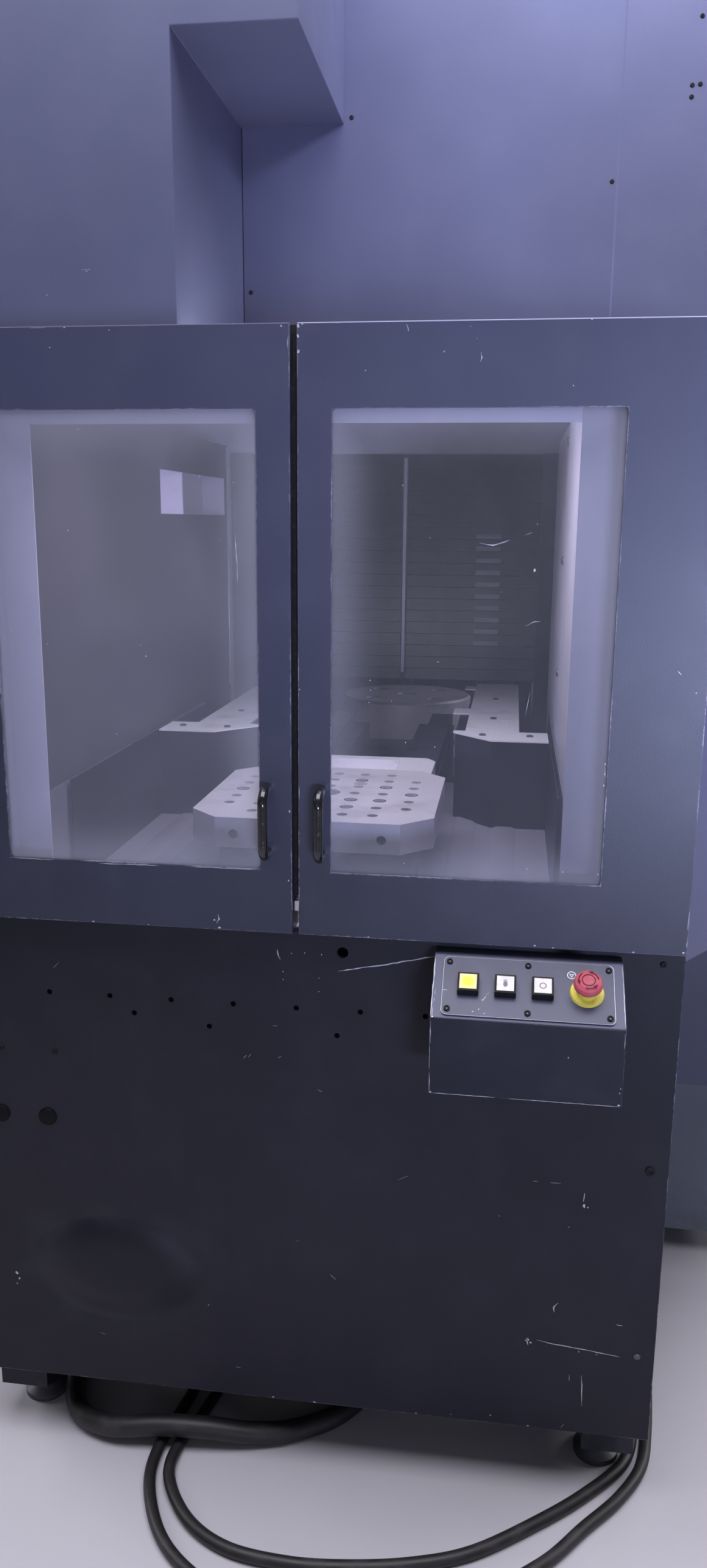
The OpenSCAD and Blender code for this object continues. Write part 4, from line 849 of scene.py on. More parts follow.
class RepeatTree:
    """Geometry Nodes that repeat a part and give the copies a material."""

    made: dict[str, NodeTree] = {}

    def __init__(self, name: str, **inputs: str) -> None:
        """Makes the tree with these inputs, each an input name and its kind of socket."""
        self.tree = bpy.data.node_groups.new(name, "GeometryNodeTree")
        sockets = self.tree.interface.new_socket
        for label, kind in {**inputs, "Finish": "Material"}.items():
            sockets(label, in_out="INPUT", socket_type="NodeSocket" + kind)
        sockets("Mesh", in_out="OUTPUT", socket_type="NodeSocketGeometry")
        self.given = self.tree.nodes.new("NodeGroupInput").outputs

    def add(self, kind: str, inputs: Optional[dict] = None, **settings: object) -> bpy.types.bpy_prop_collection:
        """Adds a node and returns its outputs.

        Args:
            kind: The node's type.
            inputs: Input name or index to an output socket or a value.
            **settings: Properties set first.

        Returns:
            The node's outputs.
        """
        node = self.tree.nodes.new(kind)
        for key, value in settings.items():
            setattr(node, key, value)
        for key, value in (inputs or {}).items():
            if isinstance(value, NodeSocket):
                self.tree.links.new(value, node.inputs[key])
            else:
                node.inputs[key].default_value = value
        return node.outputs

    def finish(self, copies: NodeSocket) -> NodeTree:
        """Makes the copies real, gives them the material and returns the tree."""
        real = self.add("GeometryNodeRealizeInstances", {0: copies})
        coat = self.add("GeometryNodeSetMaterial", {"Geometry": real[0], "Material": self.given["Finish"]})
        self.add("NodeGroupOutput", {0: coat[0]})
        return self.tree

    @classmethod
    def on_points(cls) -> NodeTree:
        """Returns the tree that sets an object on every point, turned to the point's aim."""
        if "points" not in cls.made:
            self = cls("Parts on points", Points="Geometry", Part="Object", Spin="Float", Seed="Int")
            part = self.add("GeometryNodeObjectInfo", {"Object": self.given["Part"]})
            aim = self.add("GeometryNodeInputNamedAttribute", {"Name": "aim"}, data_type="FLOAT_VECTOR")
            turn = self.add("FunctionNodeAlignRotationToVector", {"Vector": aim[0]}, axis="Z")
            chance = self.add("FunctionNodeRandomValue", {3: self.given["Spin"], "Seed": self.given["Seed"]})
            spin = self.add("FunctionNodeAxisAngleToRotation", {"Axis": (0, 0, 1), "Angle": chance[1]})
            both = self.add("FunctionNodeRotateRotation", {0: turn[0], 1: spin[0]}, rotation_space="LOCAL")
            copies = self.add("GeometryNodeInstanceOnPoints", {
                "Points": self.given["Points"], "Instance": part["Geometry"], "Rotation": both[0]})
            cls.made["points"] = self.finish(copies[0])
        return cls.made["points"]

    @classmethod
    def in_row(cls) -> NodeTree:
        """Returns the tree that repeats a mesh along a straight row."""
        if "row" not in cls.made:
            self = cls("Row of parts", Part="Geometry", Count="Int", Step="Vector")
            line = self.add("GeometryNodeMeshLine", {"Count": self.given["Count"], "Offset": self.given["Step"]},
                            mode="OFFSET")
            copies = self.add("GeometryNodeInstanceOnPoints", {"Points": line[0], "Instance": self.given["Part"]})
            cls.made["row"] = self.finish(copies[0])
        return cls.made["row"]


def run_tree(name: str, source: Mesh, tree: NodeTree, inputs: dict, body: str) -> None:
    """Runs a Geometry Nodes tree on a mesh and keeps the result as a plain piece.

    Args:
        name: Name of the piece.
        source: The mesh that the tree starts from.
        tree: The node tree.
        inputs: Input name to value.
        body: The body that carries the piece.
    """
    holder = link(name + "_source", source)
    work = holder.modifiers.new("tree", "NODES")
    work.node_group = tree
    for item in tree.interface.items_tree:
        if item.in_out == "INPUT" and item.name in inputs:
            work[item.identifier] = inputs[item.name]
    depsgraph = bpy.context.evaluated_depsgraph_get()
    depsgraph.update()
    mesh = bpy.data.meshes.new_from_object(holder.evaluated_get(depsgraph), depsgraph=depsgraph)
    holder.modifiers.remove(work)
    bpy.data.objects.remove(holder)
    add_piece(name, mesh, inputs["Finish"], body)


def set_parts(name: str, part: BMesh, spots: Iterable[tuple[Vector, Vector]], coat: Finish,
              body: str = "machine", spin: float = math.tau) -> None:
    """Sets a small part on every spot.

    Args:
        name: Name of the piece.
        part: The part, standing on z = 0.
        spots: Place and outward direction of each copy.
        coat: Finish or material.
        body: The body that carries them.
        spin: Largest chance turn about the direction.
    """
    helper = link(name + "_part", to_mesh(name + "_part", part))
    spots = list(spots)
    points = bpy.data.meshes.new(name + "_points")
    points.from_pydata([tuple(place) for place, _ in spots], [], [])
    aims = points.attributes.new("aim", "FLOAT_VECTOR", "POINT")
    for item, (_, direction) in zip(aims.data, spots):
        item.vector = direction
    run_tree(name, points, RepeatTree.on_points(),
             {"Part": helper, "Spin": spin, "Seed": SPIN_SEED, "Finish": Shop.of(coat)}, body)
    bpy.data.objects.remove(helper)


def repeat_row(name: str, part: BMesh, count: int, step: Point, coat: Finish, body: str = "machine") -> None:
    """Repeats a part count times, step millimetres apart."""
    run_tree(name, to_mesh(name + "_one", part), RepeatTree.in_row(),
             {"Count": count, "Step": tuple(v * MM for v in step), "Finish": Shop.of(coat)}, body)


def slab(low: Point, high: Point, ease: float = 0.0) -> BMesh:
    """Makes a box between two station points, with eased edges if ease is given, in millimetres."""
    work = bmesh.new()
    a, b = at(*low), at(*high)
    bmesh.ops.create_cube(work, size=1.0, matrix=Matrix.Translation((a + b) / 2)
                          @ Matrix.Diagonal((*(b - a), 1.0)))
    if ease:
        ease_edges(work, list(work.edges), ease)
    return work


def merge(*works: BMesh) -> BMesh:
    """Puts several bmeshes into one and frees them."""
    total = bmesh.new()
    for work in works:
        scrap = bpy.data.meshes.new("scrap")
        work.to_mesh(scrap)
        work.free()
        total.from_mesh(scrap)
        bpy.data.meshes.remove(scrap)
    return total


def moved(work: BMesh, matrix: Matrix) -> BMesh:
    """Moves a bmesh and returns it."""
    bmesh.ops.transform(work, matrix=matrix, verts=work.verts)
    return work


def facing(place: Vector, out: Vector, up: Vector) -> Matrix:
    """Returns the matrix that puts local Z along out and local Y near up."""
    z = out.normalized()
    x = up.cross(z).normalized()
    y = z.cross(x)
    return Matrix.Translation(place) @ Matrix((x, y, z)).transposed().to_4x4()


def smooth_route(route: Sequence[Point]) -> list[Vector]:
    """Returns a dense smooth line, in metres, through station points."""
    pts = [at(*p) for p in route]
    dense = []
    for i in range(len(pts) - 1):
        a, b, c, d = pts[max(i - 1, 0)], pts[i], pts[i + 1], pts[min(i + 2, len(pts) - 1)]
        for k in range(ROUTE_STEPS):
            u = k / ROUTE_STEPS
            dense.append(0.5 * (2 * b + (c - a) * u + (2 * a - 5 * b + 4 * c - d) * u ** 2
                                + (3 * b - a - 3 * c + d) * u ** 3))
    dense.append(pts[-1])
    return dense


def tube(name: str, line: Sequence[Vector], radius: float, rounds: int) -> Curve:
    """Makes a round tube along a line.

    Args:
        name: Name of the curve.
        line: Points in metres.
        radius: Radius in millimetres.
        rounds: Resolution of the round section.

    Returns:
        The curve with its section.
    """
    data = bpy.data.curves.new(name, "CURVE")
    data.dimensions = "3D"
    spline = data.splines.new("POLY")
    spline.points.add(len(line) - 1)
    for item, place in zip(spline.points, line):
        item.co = (*place, 1.0)
    data.bevel_depth = radius * MM
    data.bevel_resolution = rounds
    data.use_fill_caps = True
    return data


@dataclass
class Studio:
    """Camera, floor and lamps."""

    # The camera was solved from the doors, their windows and the pallet.
    eye: Point = (298.0, -1549.0, 1560.0)
    ahead: Point = (-0.13304, 0.96499, -0.22603)
    upward: Point = (-0.03879, 0.22281, 0.97409)
    lens: float = 26.0

    def camera(self) -> None:
        """Places the camera as the photograph was taken."""
        data = bpy.data.cameras.new("camera")
        data.lens = self.lens
        data.sensor_width = 36.0
        data.clip_start = 0.02
        data.clip_end = 100
        piece = link("camera", data)
        piece.matrix_world = facing(at(*self.eye), -Vector(self.ahead), Vector(self.upward))
        bpy.context.scene.camera = piece

    def lamp(self, name: str, place: Point, target: Point, size: Flat, power: float,
             colour: Colour = (1, 1, 1), spread: float = 180.0) -> None:
        """Adds one soft lamp.

        Args:
            name: Name of the lamp.
            place: Station point of its middle.
            target: Station point that it looks at.
            size: Width and height in metres.
            power: Power in watts.
            colour: Linear colour of the light.
            spread: Angle of its beam in degrees.
        """
        data = bpy.data.lights.new(name, "AREA")
        data.shape = "RECTANGLE"
        data.size, data.size_y = size
        data.energy = power
        data.color = colour
        data.spread = math.radians(spread)
        spot = at(*place)
        link(name, data).matrix_world = facing(spot, spot - at(*target), UPWARD)

    def light(self) -> None:
        """Adds the lamps."""
        for name, x, y, goal in (("left_side", -6500, 2200, (-1050, 2200, 1300)),
                                 ("right_side", 6500, 3600, (1050, 2600, 1300)),
                                 ("behind", -800, 9500, (0, 3500, 1300))):
            self.lamp(name, (x, y, 4200), goal, (4.0, 3.0), 260, (0.95, 0.96, 1.0))
        self.lamp("ceiling", (100, -350, 4000), (100, 150, 0), (3.8, 2.8), 225, (0.89, 0.9, 1.0))
        self.lamp("beam", (2700, -1500, 3500), (320, 651, 2180), (0.25, 2.2), 7, (0.74, 0.77, 1.0), 18)
        self.lamp("window_right", (1800, -4200, 800), (540, 0, 1350), (1.3, 0.5), 8, (0.58, 0.66, 1.0), 40)
        self.lamp("far_wall", (-300, -4600, 1900), (0, 0, 1300), (3.5, 2.0), 9, (0.95, 0.95, 1.0))
        self.lamp("bay_lamp", (-30, 200, 1734), (-30, 420, 1000), (0.4, 0.1), 3.6, (0.97, 0.94, 1.0))
        self.lamp("under_hood", (-130, 360, 1835), (-140, 330, 2246), (0.12, 0.3), 0.6, (0.9, 0.92, 1.0))

    def surroundings(self) -> None:
        """Adds the world, pale to the camera and dim to everything else."""
        world = bpy.data.worlds.new("surroundings")
        world.use_nodes = True
        nodes, join = world.node_tree.nodes, world.node_tree.links.new
        nodes.clear()
        mix = nodes.new("ShaderNodeMixShader")
        join(nodes.new("ShaderNodeLightPath").outputs["Is Camera Ray"], mix.inputs[0])
        for slot, colour, strength in ((1, (0.8, 0.8, 0.88, 1), 0.15), (2, (0.86, 0.86, 0.88, 1), 1.0)):
            shade = nodes.new("ShaderNodeBackground")
            shade.inputs[0].default_value, shade.inputs[1].default_value = colour, strength
            join(shade.outputs[0], mix.inputs[slot])
        join(mix.outputs[0], nodes.new("ShaderNodeOutputWorld").inputs[0])
        bpy.context.scene.world = world
        bpy.context.scene.view_settings.view_transform = "Standard"

    def floor(self) -> None:
        """Adds the plain pale floor."""
        work = bmesh.new()
        bmesh.ops.create_grid(work, x_segments=1, y_segments=1, size=30)
        piece = link("floor", to_mesh("floor", work))
        cook = Recipe("pale_floor")
        tone = cook.noise(2.2, 4, 0.6)
        shade = cook.mix(tone, linear(176, 171, 178), linear(190, 186, 192))
        piece.data.materials.append(cook.finish(cook.surface(Base_Color=shade, Roughness=0.75)))

    def build(self) -> None:
        """Sets up the whole studio."""
        self.camera()
        self.floor()
        self.light()
        self.surroundings()


INNER_ROUTE = (
    (-260, 694, 90), (-260, 650, 86), (-250, 560, 52), (-232, 450, 18), (-200, 320, 10.5),
    (-178, 200, 10.5), (-192, 110, 10.5), (-214, 40, 10.5), (-212, -29, 10.5), (-160, -105, 10.5),
    (-86, -148, 10.5), (10, -160, 10.5), (100, -154, 10.5), (200, -135, 10.5), (294, -100, 10.5),
    (399, -27, 10.5), (474, 36, 10.5), (537, 105, 10.5), (560, 180, 10.5), (566, 300, 10.5),
    (576, 450, 18), (586, 560, 52), (590, 650, 86), (590, 694, 90),
)
OUTER_ROUTE = (
    (-300, 694, 90), (-300, 650, 86), (-290, 560, 52), (-272, 450, 18), (-240, 320, 10.5),
    (-222, 200, 10.5), (-234, 100, 10.5), (-246, 40, 10.5), (-242, -40, 10.5), (-200, -130, 10.5),
    (-138, -191, 10.5), (-50, -232, 10.5), (60, -244, 10.5), (180, -232, 10.5), (290, -184, 10.5),
    (399, -106, 10.5), (467, -31, 10.5), (526, 34, 10.5), (568, 104, 10.5), (586, 190, 10.5),
    (602, 320, 10.5), (624, 450, 18), (636, 560, 52), (640, 650, 86), (640, 694, 90),
)
DRAIN_ROUTE = (
    (-430, 694, 90), (-430, 640, 84), (-436, 530, 46), (-446, 410, 20), (-452, 290, 18.5),
    (-446, 170, 18.5), (-410, 80, 19), (-340, 42, 28), (-250, 42, 41), (-170, 48, 41), (-90, 64, 26),
    (-20, 90, 18.5), (52, 140, 18.5), (104, 230, 18.5), (128, 350, 19), (134, 470, 30),
    (132, 580, 62), (130, 650, 85), (130, 694, 90),
)


@dataclass
class FloorHoses:
    """The hoses that loop out from under the loading station."""

    thin: float = 20.0
    thick: float = 36.0

    def hose(self, name: str, node: str, route: Sequence[Point], diameter: float) -> None:
        """Args:
            name: Name of the piece.
            node: The CAD node that it stands for.
            route: Station points that it follows.
            diameter: Outer diameter in millimetres.
        """
        line = smooth_route(route)
        data = tube(name, line, diameter / 2, 5)
        data.materials.append(HoseRubber().dress(name + "_rubber"))
        piece = link(name, data)
        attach(piece, "machine")
        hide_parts(node)
        length = sum((b - a).length for a, b in zip(line, line[1:]))
        LOG.info("%s is %.2f m long", name, length)

    def build(self) -> None:
        """Makes the three hoses."""
        self.hose("inner_hose", "inner_loop_hose", INNER_ROUTE, self.thin)
        self.hose("outer_hose", "outer_loop_hose", OUTER_ROUTE, self.thin)
        self.hose("thick_hose", "drain_hose", DRAIN_ROUTE, self.thick)


# Marks placed from the photograph, as (x, z) on their face in millimetres. Each scratch
# is its width and the points along it, each chip its place, size and, if not 1, its stretch.
SCRATCHES = {
    "right_door_marks": [
        (1.5, (245, 1773), (246.5, 1766), (245, 1761)), (2.4, (149, 1808), (151, 1799)),
        (2.2, (520, 1369), (524, 1364)), (1.0, (431, 1239), (433, 1220)), (1.2, (6.2, 1190), (6.4, 1172)),
        (1.5, (558.6, 1033), (558.4, 1006)), (1.3, (558.8, 990), (557.6, 980))],
    "left_door_marks": [
        (2.2, (-117, 991), (-115, 984), (-119, 977)), (0.9, (-437, 1063), (-368, 1062.6)),
        (1.2, (-297, 1061.6), (-286, 1061), (-220, 1062), (-206, 1062)), (0.8, (-158, 1062.6), (-57, 1063)),
        (1.2, (-7.4, 1794), (-7, 1780)), (1.0, (-361, 1810), (-338, 1810.6))],
    "right_pane_marks": [
        (1.5, (251, 1533), (269, 1530), (291, 1537)), (1.2, (311, 1544), (320, 1547)),
        (1.0, (316, 1424), (327, 1430), (336, 1431)), (0.7, (326, 1335), (321, 1302))],
    "left_pane_marks": [
        (1.3, (-83, 1543), (-81, 1510), (-80, 1477))],
    "panel_marks": [
        (1.8, (59, 900), (96, 908), (134, 916), (204, 933)), (1.5, (381, 296), (401, 292), (447, 288), (511, 280)),
        (1.5, (454, 239), (456, 212), (457, 182)), (2.6, (411, 367), (404, 358), (406, 349)),
        (2.4, (-34, 929), (-32, 921), (-29, 913)), (1.1, (-391, 876), (-381, 887)), (1.2, (363, 576), (371, 576)),
        (1.2, (389, 576), (405, 576)), (2.2, (442, 563), (441, 548)), (0.9, (155, 558), (171, 567)),
        (1.2, (435, 238), (435, 226)), (1.0, (-42, 804), (-34, 804)), (0.9, (-89, 746), (-84, 752)),
        (0.9, (-81, 748), (-77, 754)), (0.9, (-34, 751), (-29, 754)), (1.3, (28, 702), (35, 699)),
        (1.4, (49, 378), (58, 369)), (0.8, (-9, 431), (-1, 436)), (0.9, (-344, 223), (-333, 220)),
        (0.9, (-111, 185), (-101, 184)), (1.1, (426, 136), (431, 145)), (2.0, (502, 338), (512, 337)),
        (3.2, (366, 298), (367, 285))],
    "box_marks": [
        (0.9, (207.3, 884), (207.5, 850)), (1.1, (207.4, 806), (207.6, 778)), (1.0, (472.6, 884), (472.4, 862)),
        (0.9, (208, 774.8), (300, 775)), (0.8, (318, 774.9), (470, 774.8)), (0.7, (207.2, 846), (207.3, 812))],
    "slope_marks": [
        (1.2, (4.5, -6), (4.6, -16)), (1.1, (4, -20), (4, -28)), (1.3, (3.6, -36), (3, -51)),
        (0.8, (12.5, -9), (17, -8.8), (23, -9.2)), (1.3, (72, -22), (76, -15)), (0.8, (76, -14), (80, -9)),
        (1.1, (249, 43), (249.4, 34)), (1.0, (266.4, 50), (266.6, -50)), (1.5, (1.2, 48), (1.1, -51))],
    "hood_marks": [
        (1.4, (-363, 1925), (-350, 1926))],
}
CHIPS = {
    "right_door_marks": [
        (231, 1804, 1.4, 0.8), (240, 1789, 1.1), (198, 1774, 2.0), (7, 1808, 4, 1.6), (6.4, 1795, 3, 2),
        (7, 1776, 3.4, 1.6), (12, 1810, 3, 0.8), (364, 1731, 2), (96, 1752, 1.8), (348, 970, 4, 0.8),
        (374, 968.4, 3, 0.6), (486, 968.6, 3.4, 0.6), (555, 972, 3.2), (7, 1330, 1.8, 1.6), (108, 968.8, 3, 0.6),
        (383, 1810, 2.4, 0.8), (545, 1340, 1.8)],
    "left_door_marks": [
        (-115, 970, 5, 0.7), (-122, 982, 3, 1.2), (-310, 968.6, 4, 0.6), (-224, 968.6, 2.6, 0.6), (-334, 1785, 2),
        (-312, 1810, 3, 0.5), (-16, 1808, 3), (-8, 1153, 3, 1.4), (-10, 1049, 2.4, 1.4), (-250, 1806, 2.4, 0.7)],
    "right_pane_marks": [
        (325, 1498, 3, 1.8), (200, 1373, 3, 0.6), (147, 1607, 2.2, 0.8), (185, 1539, 1.4), (326, 1558, 1.4),
        (106, 1345, 1.8), (107, 1331, 2, 0.8), (105, 1314, 1.8, 0.8), (135, 1285, 1.6), (136, 1317, 1.6),
        (157, 1259, 2), (198, 1254, 2), (158, 1083, 1.8), (332, 1083, 2.2), (382, 1081, 2.2), (431, 1080, 2),
        (432, 1238, 2, 1.6), (432, 1224, 2, 1.6), (432, 1208, 2, 1.6), (282, 1469, 1.2)],
    "left_pane_marks": [
        (-322, 1544, 2.4, 0.8), (-300, 1680, 1.8), (-222, 1387, 2, 0.6), (-215, 1371, 2.4, 1.4),
        (-263, 1257, 2.2, 0.8), (-415, 1403, 2, 0.8), (-84, 1610, 1.6), (-88, 1584, 1.6), (-131, 1618, 2.4),
        (-361, 1385, 1.4, 2), (-165, 1138, 1.4), (-104, 1534, 1.6)],
    "panel_marks": [
        (366, 294, 6, 1.2), (372, 290, 4), (442, 541, 5, 1.3), (448, 539, 3), (-485, 322, 5, 1.5),
        (-481, 312, 3.4, 1.4), (-486, 302, 3), (23, 133, 6, 0.5), (192, 134, 4, 0.5), (249, 139, 3, 0.6),
        (313, 146, 3, 0.8), (-47, 134, 5, 0.5), (374, 134, 4, 0.5), (447, 282, 2.4), (475, 280, 2.2), (-12, 924, 2),
        (8, 926, 2), (34, 925, 2.4), (-25, 894, 1.8), (-25, 881, 1.8), (30, 887, 1.6), (30, 865, 1.6),
        (-154, 298, 2), (314, 511, 1.8), (421, 502, 1.8)],
    "box_marks": [
        (209, 776, 3.4, 0.8), (470, 777, 3.6), (398, 843, 2), (471, 802, 1.6, 1.6), (470, 795, 1.6, 1.4)],
    "slope_marks": [
        (65, -13, 1.6), (59, -41, 2.2, 0.8), (67, -37, 2, 0.8), (75, -43, 2.4, 0.5), (71.5, -22, 2.2),
        (3.4, -52, 3, 0.8)],
    "hood_marks": [
        (-356, 1923, 2.6, 0.5), (-420, 1891, 1.8), (-900, 1900, 3)],
}


@dataclass
class Scars:
    """Scratches and paint chips on a flat face that looks towards -Y."""

    body: str
    plane: float
    proud: float = 0.12

    def spot(self, x: float, z: float) -> Vector:
        """Returns where a mark's point (x, z), in millimetres, lies."""
        return at(x, self.plane - self.proud, z)

    def ribbon(self, work: BMesh, seed: int, width: float, *line: Flat) -> None:
        """Adds one scratch, thin and uneven, along points of (x, z) in millimetres."""
        chance = random.Random(seed)
        dense = []
        for (x0, z0), (x1, z1) in zip(line, line[1:]):
            count = max(2, int(math.hypot(x1 - x0, z1 - z0) / SCRATCH_STEP))
            dense += [(x0 + (x1 - x0) * k / count, z0 + (z1 - z0) * k / count) for k in range(count)]
        dense.append(line[-1])
        rows = []
        for k, (x, z) in enumerate(dense):
            a, b = dense[max(k - 1, 0)], dense[min(k + 1, len(dense) - 1)]
            dx, dz = b[0] - a[0], b[1] - a[1]
            size = math.hypot(dx, dz) or 1.0
            half = width / 2 * chance.uniform(0.45, 1.15) * min(1.0, 0.25 + min(k, len(dense) - 1 - k) * 0.4)
            sway = chance.uniform(-0.3, 0.3) * width
            rows.append([work.verts.new(self.spot(x - dz / size * (s * half + sway),
                                                  z + dx / size * (s * half + sway))) for s in (-1, 1)])
        strip(work, rows)

    def chip(self, work: BMesh, seed: int, x: float, z: float, size: float, tall: float = 1.0) -> None:
        """Adds one ragged flake at (x, z)."""
        chance = random.Random(seed)
        ring = []
        for k in range(CHIP_CORNERS):
            a = -math.tau * k / CHIP_CORNERS
            r = size / 2 * chance.uniform(0.5, 1.2)
            ring.append(work.verts.new(self.spot(x + r * math.cos(a), z + r * tall * math.sin(a))))
        work.faces.new(ring)

    def build(self, name: str) -> None:
        """Makes all the marks that the tables hold under this name as one piece."""
        work = bmesh.new()
        for k, scratch in enumerate(SCRATCHES[name]):
            self.ribbon(work, SCRATCH_SEED + k, *scratch)
        for k, chip in enumerate(CHIPS[name]):
            self.chip(work, CHIP_SEED + k, *chip)
        for face in work.faces:
            face.normal_update()
            if face.normal.y > 0:
                face.normal_flip()
        mesh = to_mesh(name, work, tidy=False)
        add_piece(name, mesh, BareMark().dress(name + "_metal"), self.body, smooth=False)


@dataclass
class LoadingDoors:
    """The two windowed door leaves with their handles.

    Attributes:
        window: Near and far side of a window, from the gap between the doors.
        sill: Low and high side of the windows.
        haze: Share of light that the left and the right pane scatter.
        pane: How far behind the door's face the panes lie.
    """

    window: Flat = (52.0, 435.0)
    sill: Flat = (1064.0, 1705.0)
    haze: Flat = (0.15, 0.064)
    pane: float = 3.3

    def leaf(self, side: str, sign: int) -> None:
        """Dresses one leaf, its pane and its handle."""
        body = f"{side}_door"
        low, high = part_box(body)
        xs = sorted(sign * v for v in self.window)
        a, b = at(xs[0], 0, self.sill[0]), at(xs[1], 0, self.sill[1])
        # The doors' colour is darker towards the bottom: painted shade for the light's fall-off.
        coat = Shop.get(Paint.DOOR, side, edges=(low, high), outline=((a.x, a.z), (b.x, b.z)),
                        fade=(low.z, high.z, 0.6, 1.25))
        eased(body, coat, 1.2, body)
        pane = SafetyPane(self.haze[sign > 0])
        dress_node(f"{side}_window", pane.dress(f"{side}_pane", *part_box(f"{side}_window")))
        dress_node(f"{side}_handle", Plastic.GRIP)
        screws = [(at(sign * 39.5, 40, z), BACKWARD) for z in (1091, 1187)]
        set_parts(f"{side}_handle_screws", socket_screw(5.5, 4.0, 2.5), screws, Steel.DARK, body)

    def build(self) -> None:
        """Dresses both leaves and adds their marks."""
        self.leaf("right", 1)
        self.leaf("left", -1)
        # Pale strips along the doors' top edges: painted highlights where the light falls on them.
        for side, x0, x1, coat in (("right", 6, 558.5, Paint.SEAM), ("left", -558.5, -6, Paint.RUBBED)):
            add_piece(f"{side}_top_edge", slab((x0, -0.12, 1810.9), (x1, 1.5, 1812.1)), coat, f"{side}_door")
        Scars("right_door", 0.0).build("right_door_marks")
        Scars("left_door", 0.0).build("left_door_marks")
        Scars("right_door", self.pane).build("right_pane_marks")
        Scars("left_door", self.pane).build("left_pane_marks")
        add_piece("door_seal", slab((-5.1, 10.5, 1024), (4.0, 12.5, 1811), 0.4), Plastic.BLACK, "left_door")
        dress_nodes(hinge_pins=Steel.DARK, door_lock=Steel.BRIGHT)


@dataclass
class FrontPanel:
    """The large lower panel with its holes, plugs, screws and marks."""

    face: float = 30.0
    row: float = 836.0
    pitch: float = 98.5
    cable_hole: Flat = (66.0, 930.0)
    dent: Flat = (-307.0, 350.0)
    dent_size: Point = (0.15, 0.1, 0.02)

    def build(self) -> None:
        """Dresses the panel and adds its fasteners and marks."""
        dent = at(self.dent[0], 0, self.dent[1])
        coat = Shop.get(Paint.SKIRT, edges=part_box("front_skirt"), dent=(dent.x, dent.z, *self.dent_size))
        eased("front_skirt", coat, 1.6)
        dress_node("blank_plugs", Plastic.PLUG)
        rivet = turned([(5.5, -0.4), (5.5, 0.8), (4.4, 1.6), (1.5, 2.0)], 20)
        corners = ((-486, 735), (-396, 735), (533, 941), (-533, 941))
        self.fit("panel_screws", cross_screw(5.0, 2.4), corners, Plastic.BLACK)
        self.fit("panel_bolt", socket_screw(7.5, 3.0, 3.6), [(536, 609)], Plastic.BLACK)
        self.fit("panel_rivet", rivet, [(537, 284)], Steel.DARK)
        Scars("machine", self.face).build("panel_marks")
        # A black disc behind the cable hole: painted shade, so that the hole shows dark.
        back = turned([(10.5, 0.0), (10.5, 0.4)], 24)
        self.fit("cable_hole_back", back, [self.cable_hole], Plastic.VOID, 12)
        # Black discs over the small holes: painted shade in the holes.
        holes = [(i * self.pitch - 5, self.row) for i in range(-4, 3)]
        holes += [(x, self.row - drop) for x, drop in ((-262, 26), (-142, 40), (58, 41))]
        self.fit("panel_hole_shades", turned([(4.3, 0.0), (4.3, 0.1)], 18), holes, Plastic.VOID, 0.05)

    def fit(self, name: str, part: BMesh, places: Iterable[Flat], coat: Finish, depth: float = 0.0) -> None:
        """Sets a part at places (x, z) of the face, depth millimetres behind it."""
        set_parts(name, part, [(at(x, self.face + depth, z), FORWARD) for x, z in places], coat)


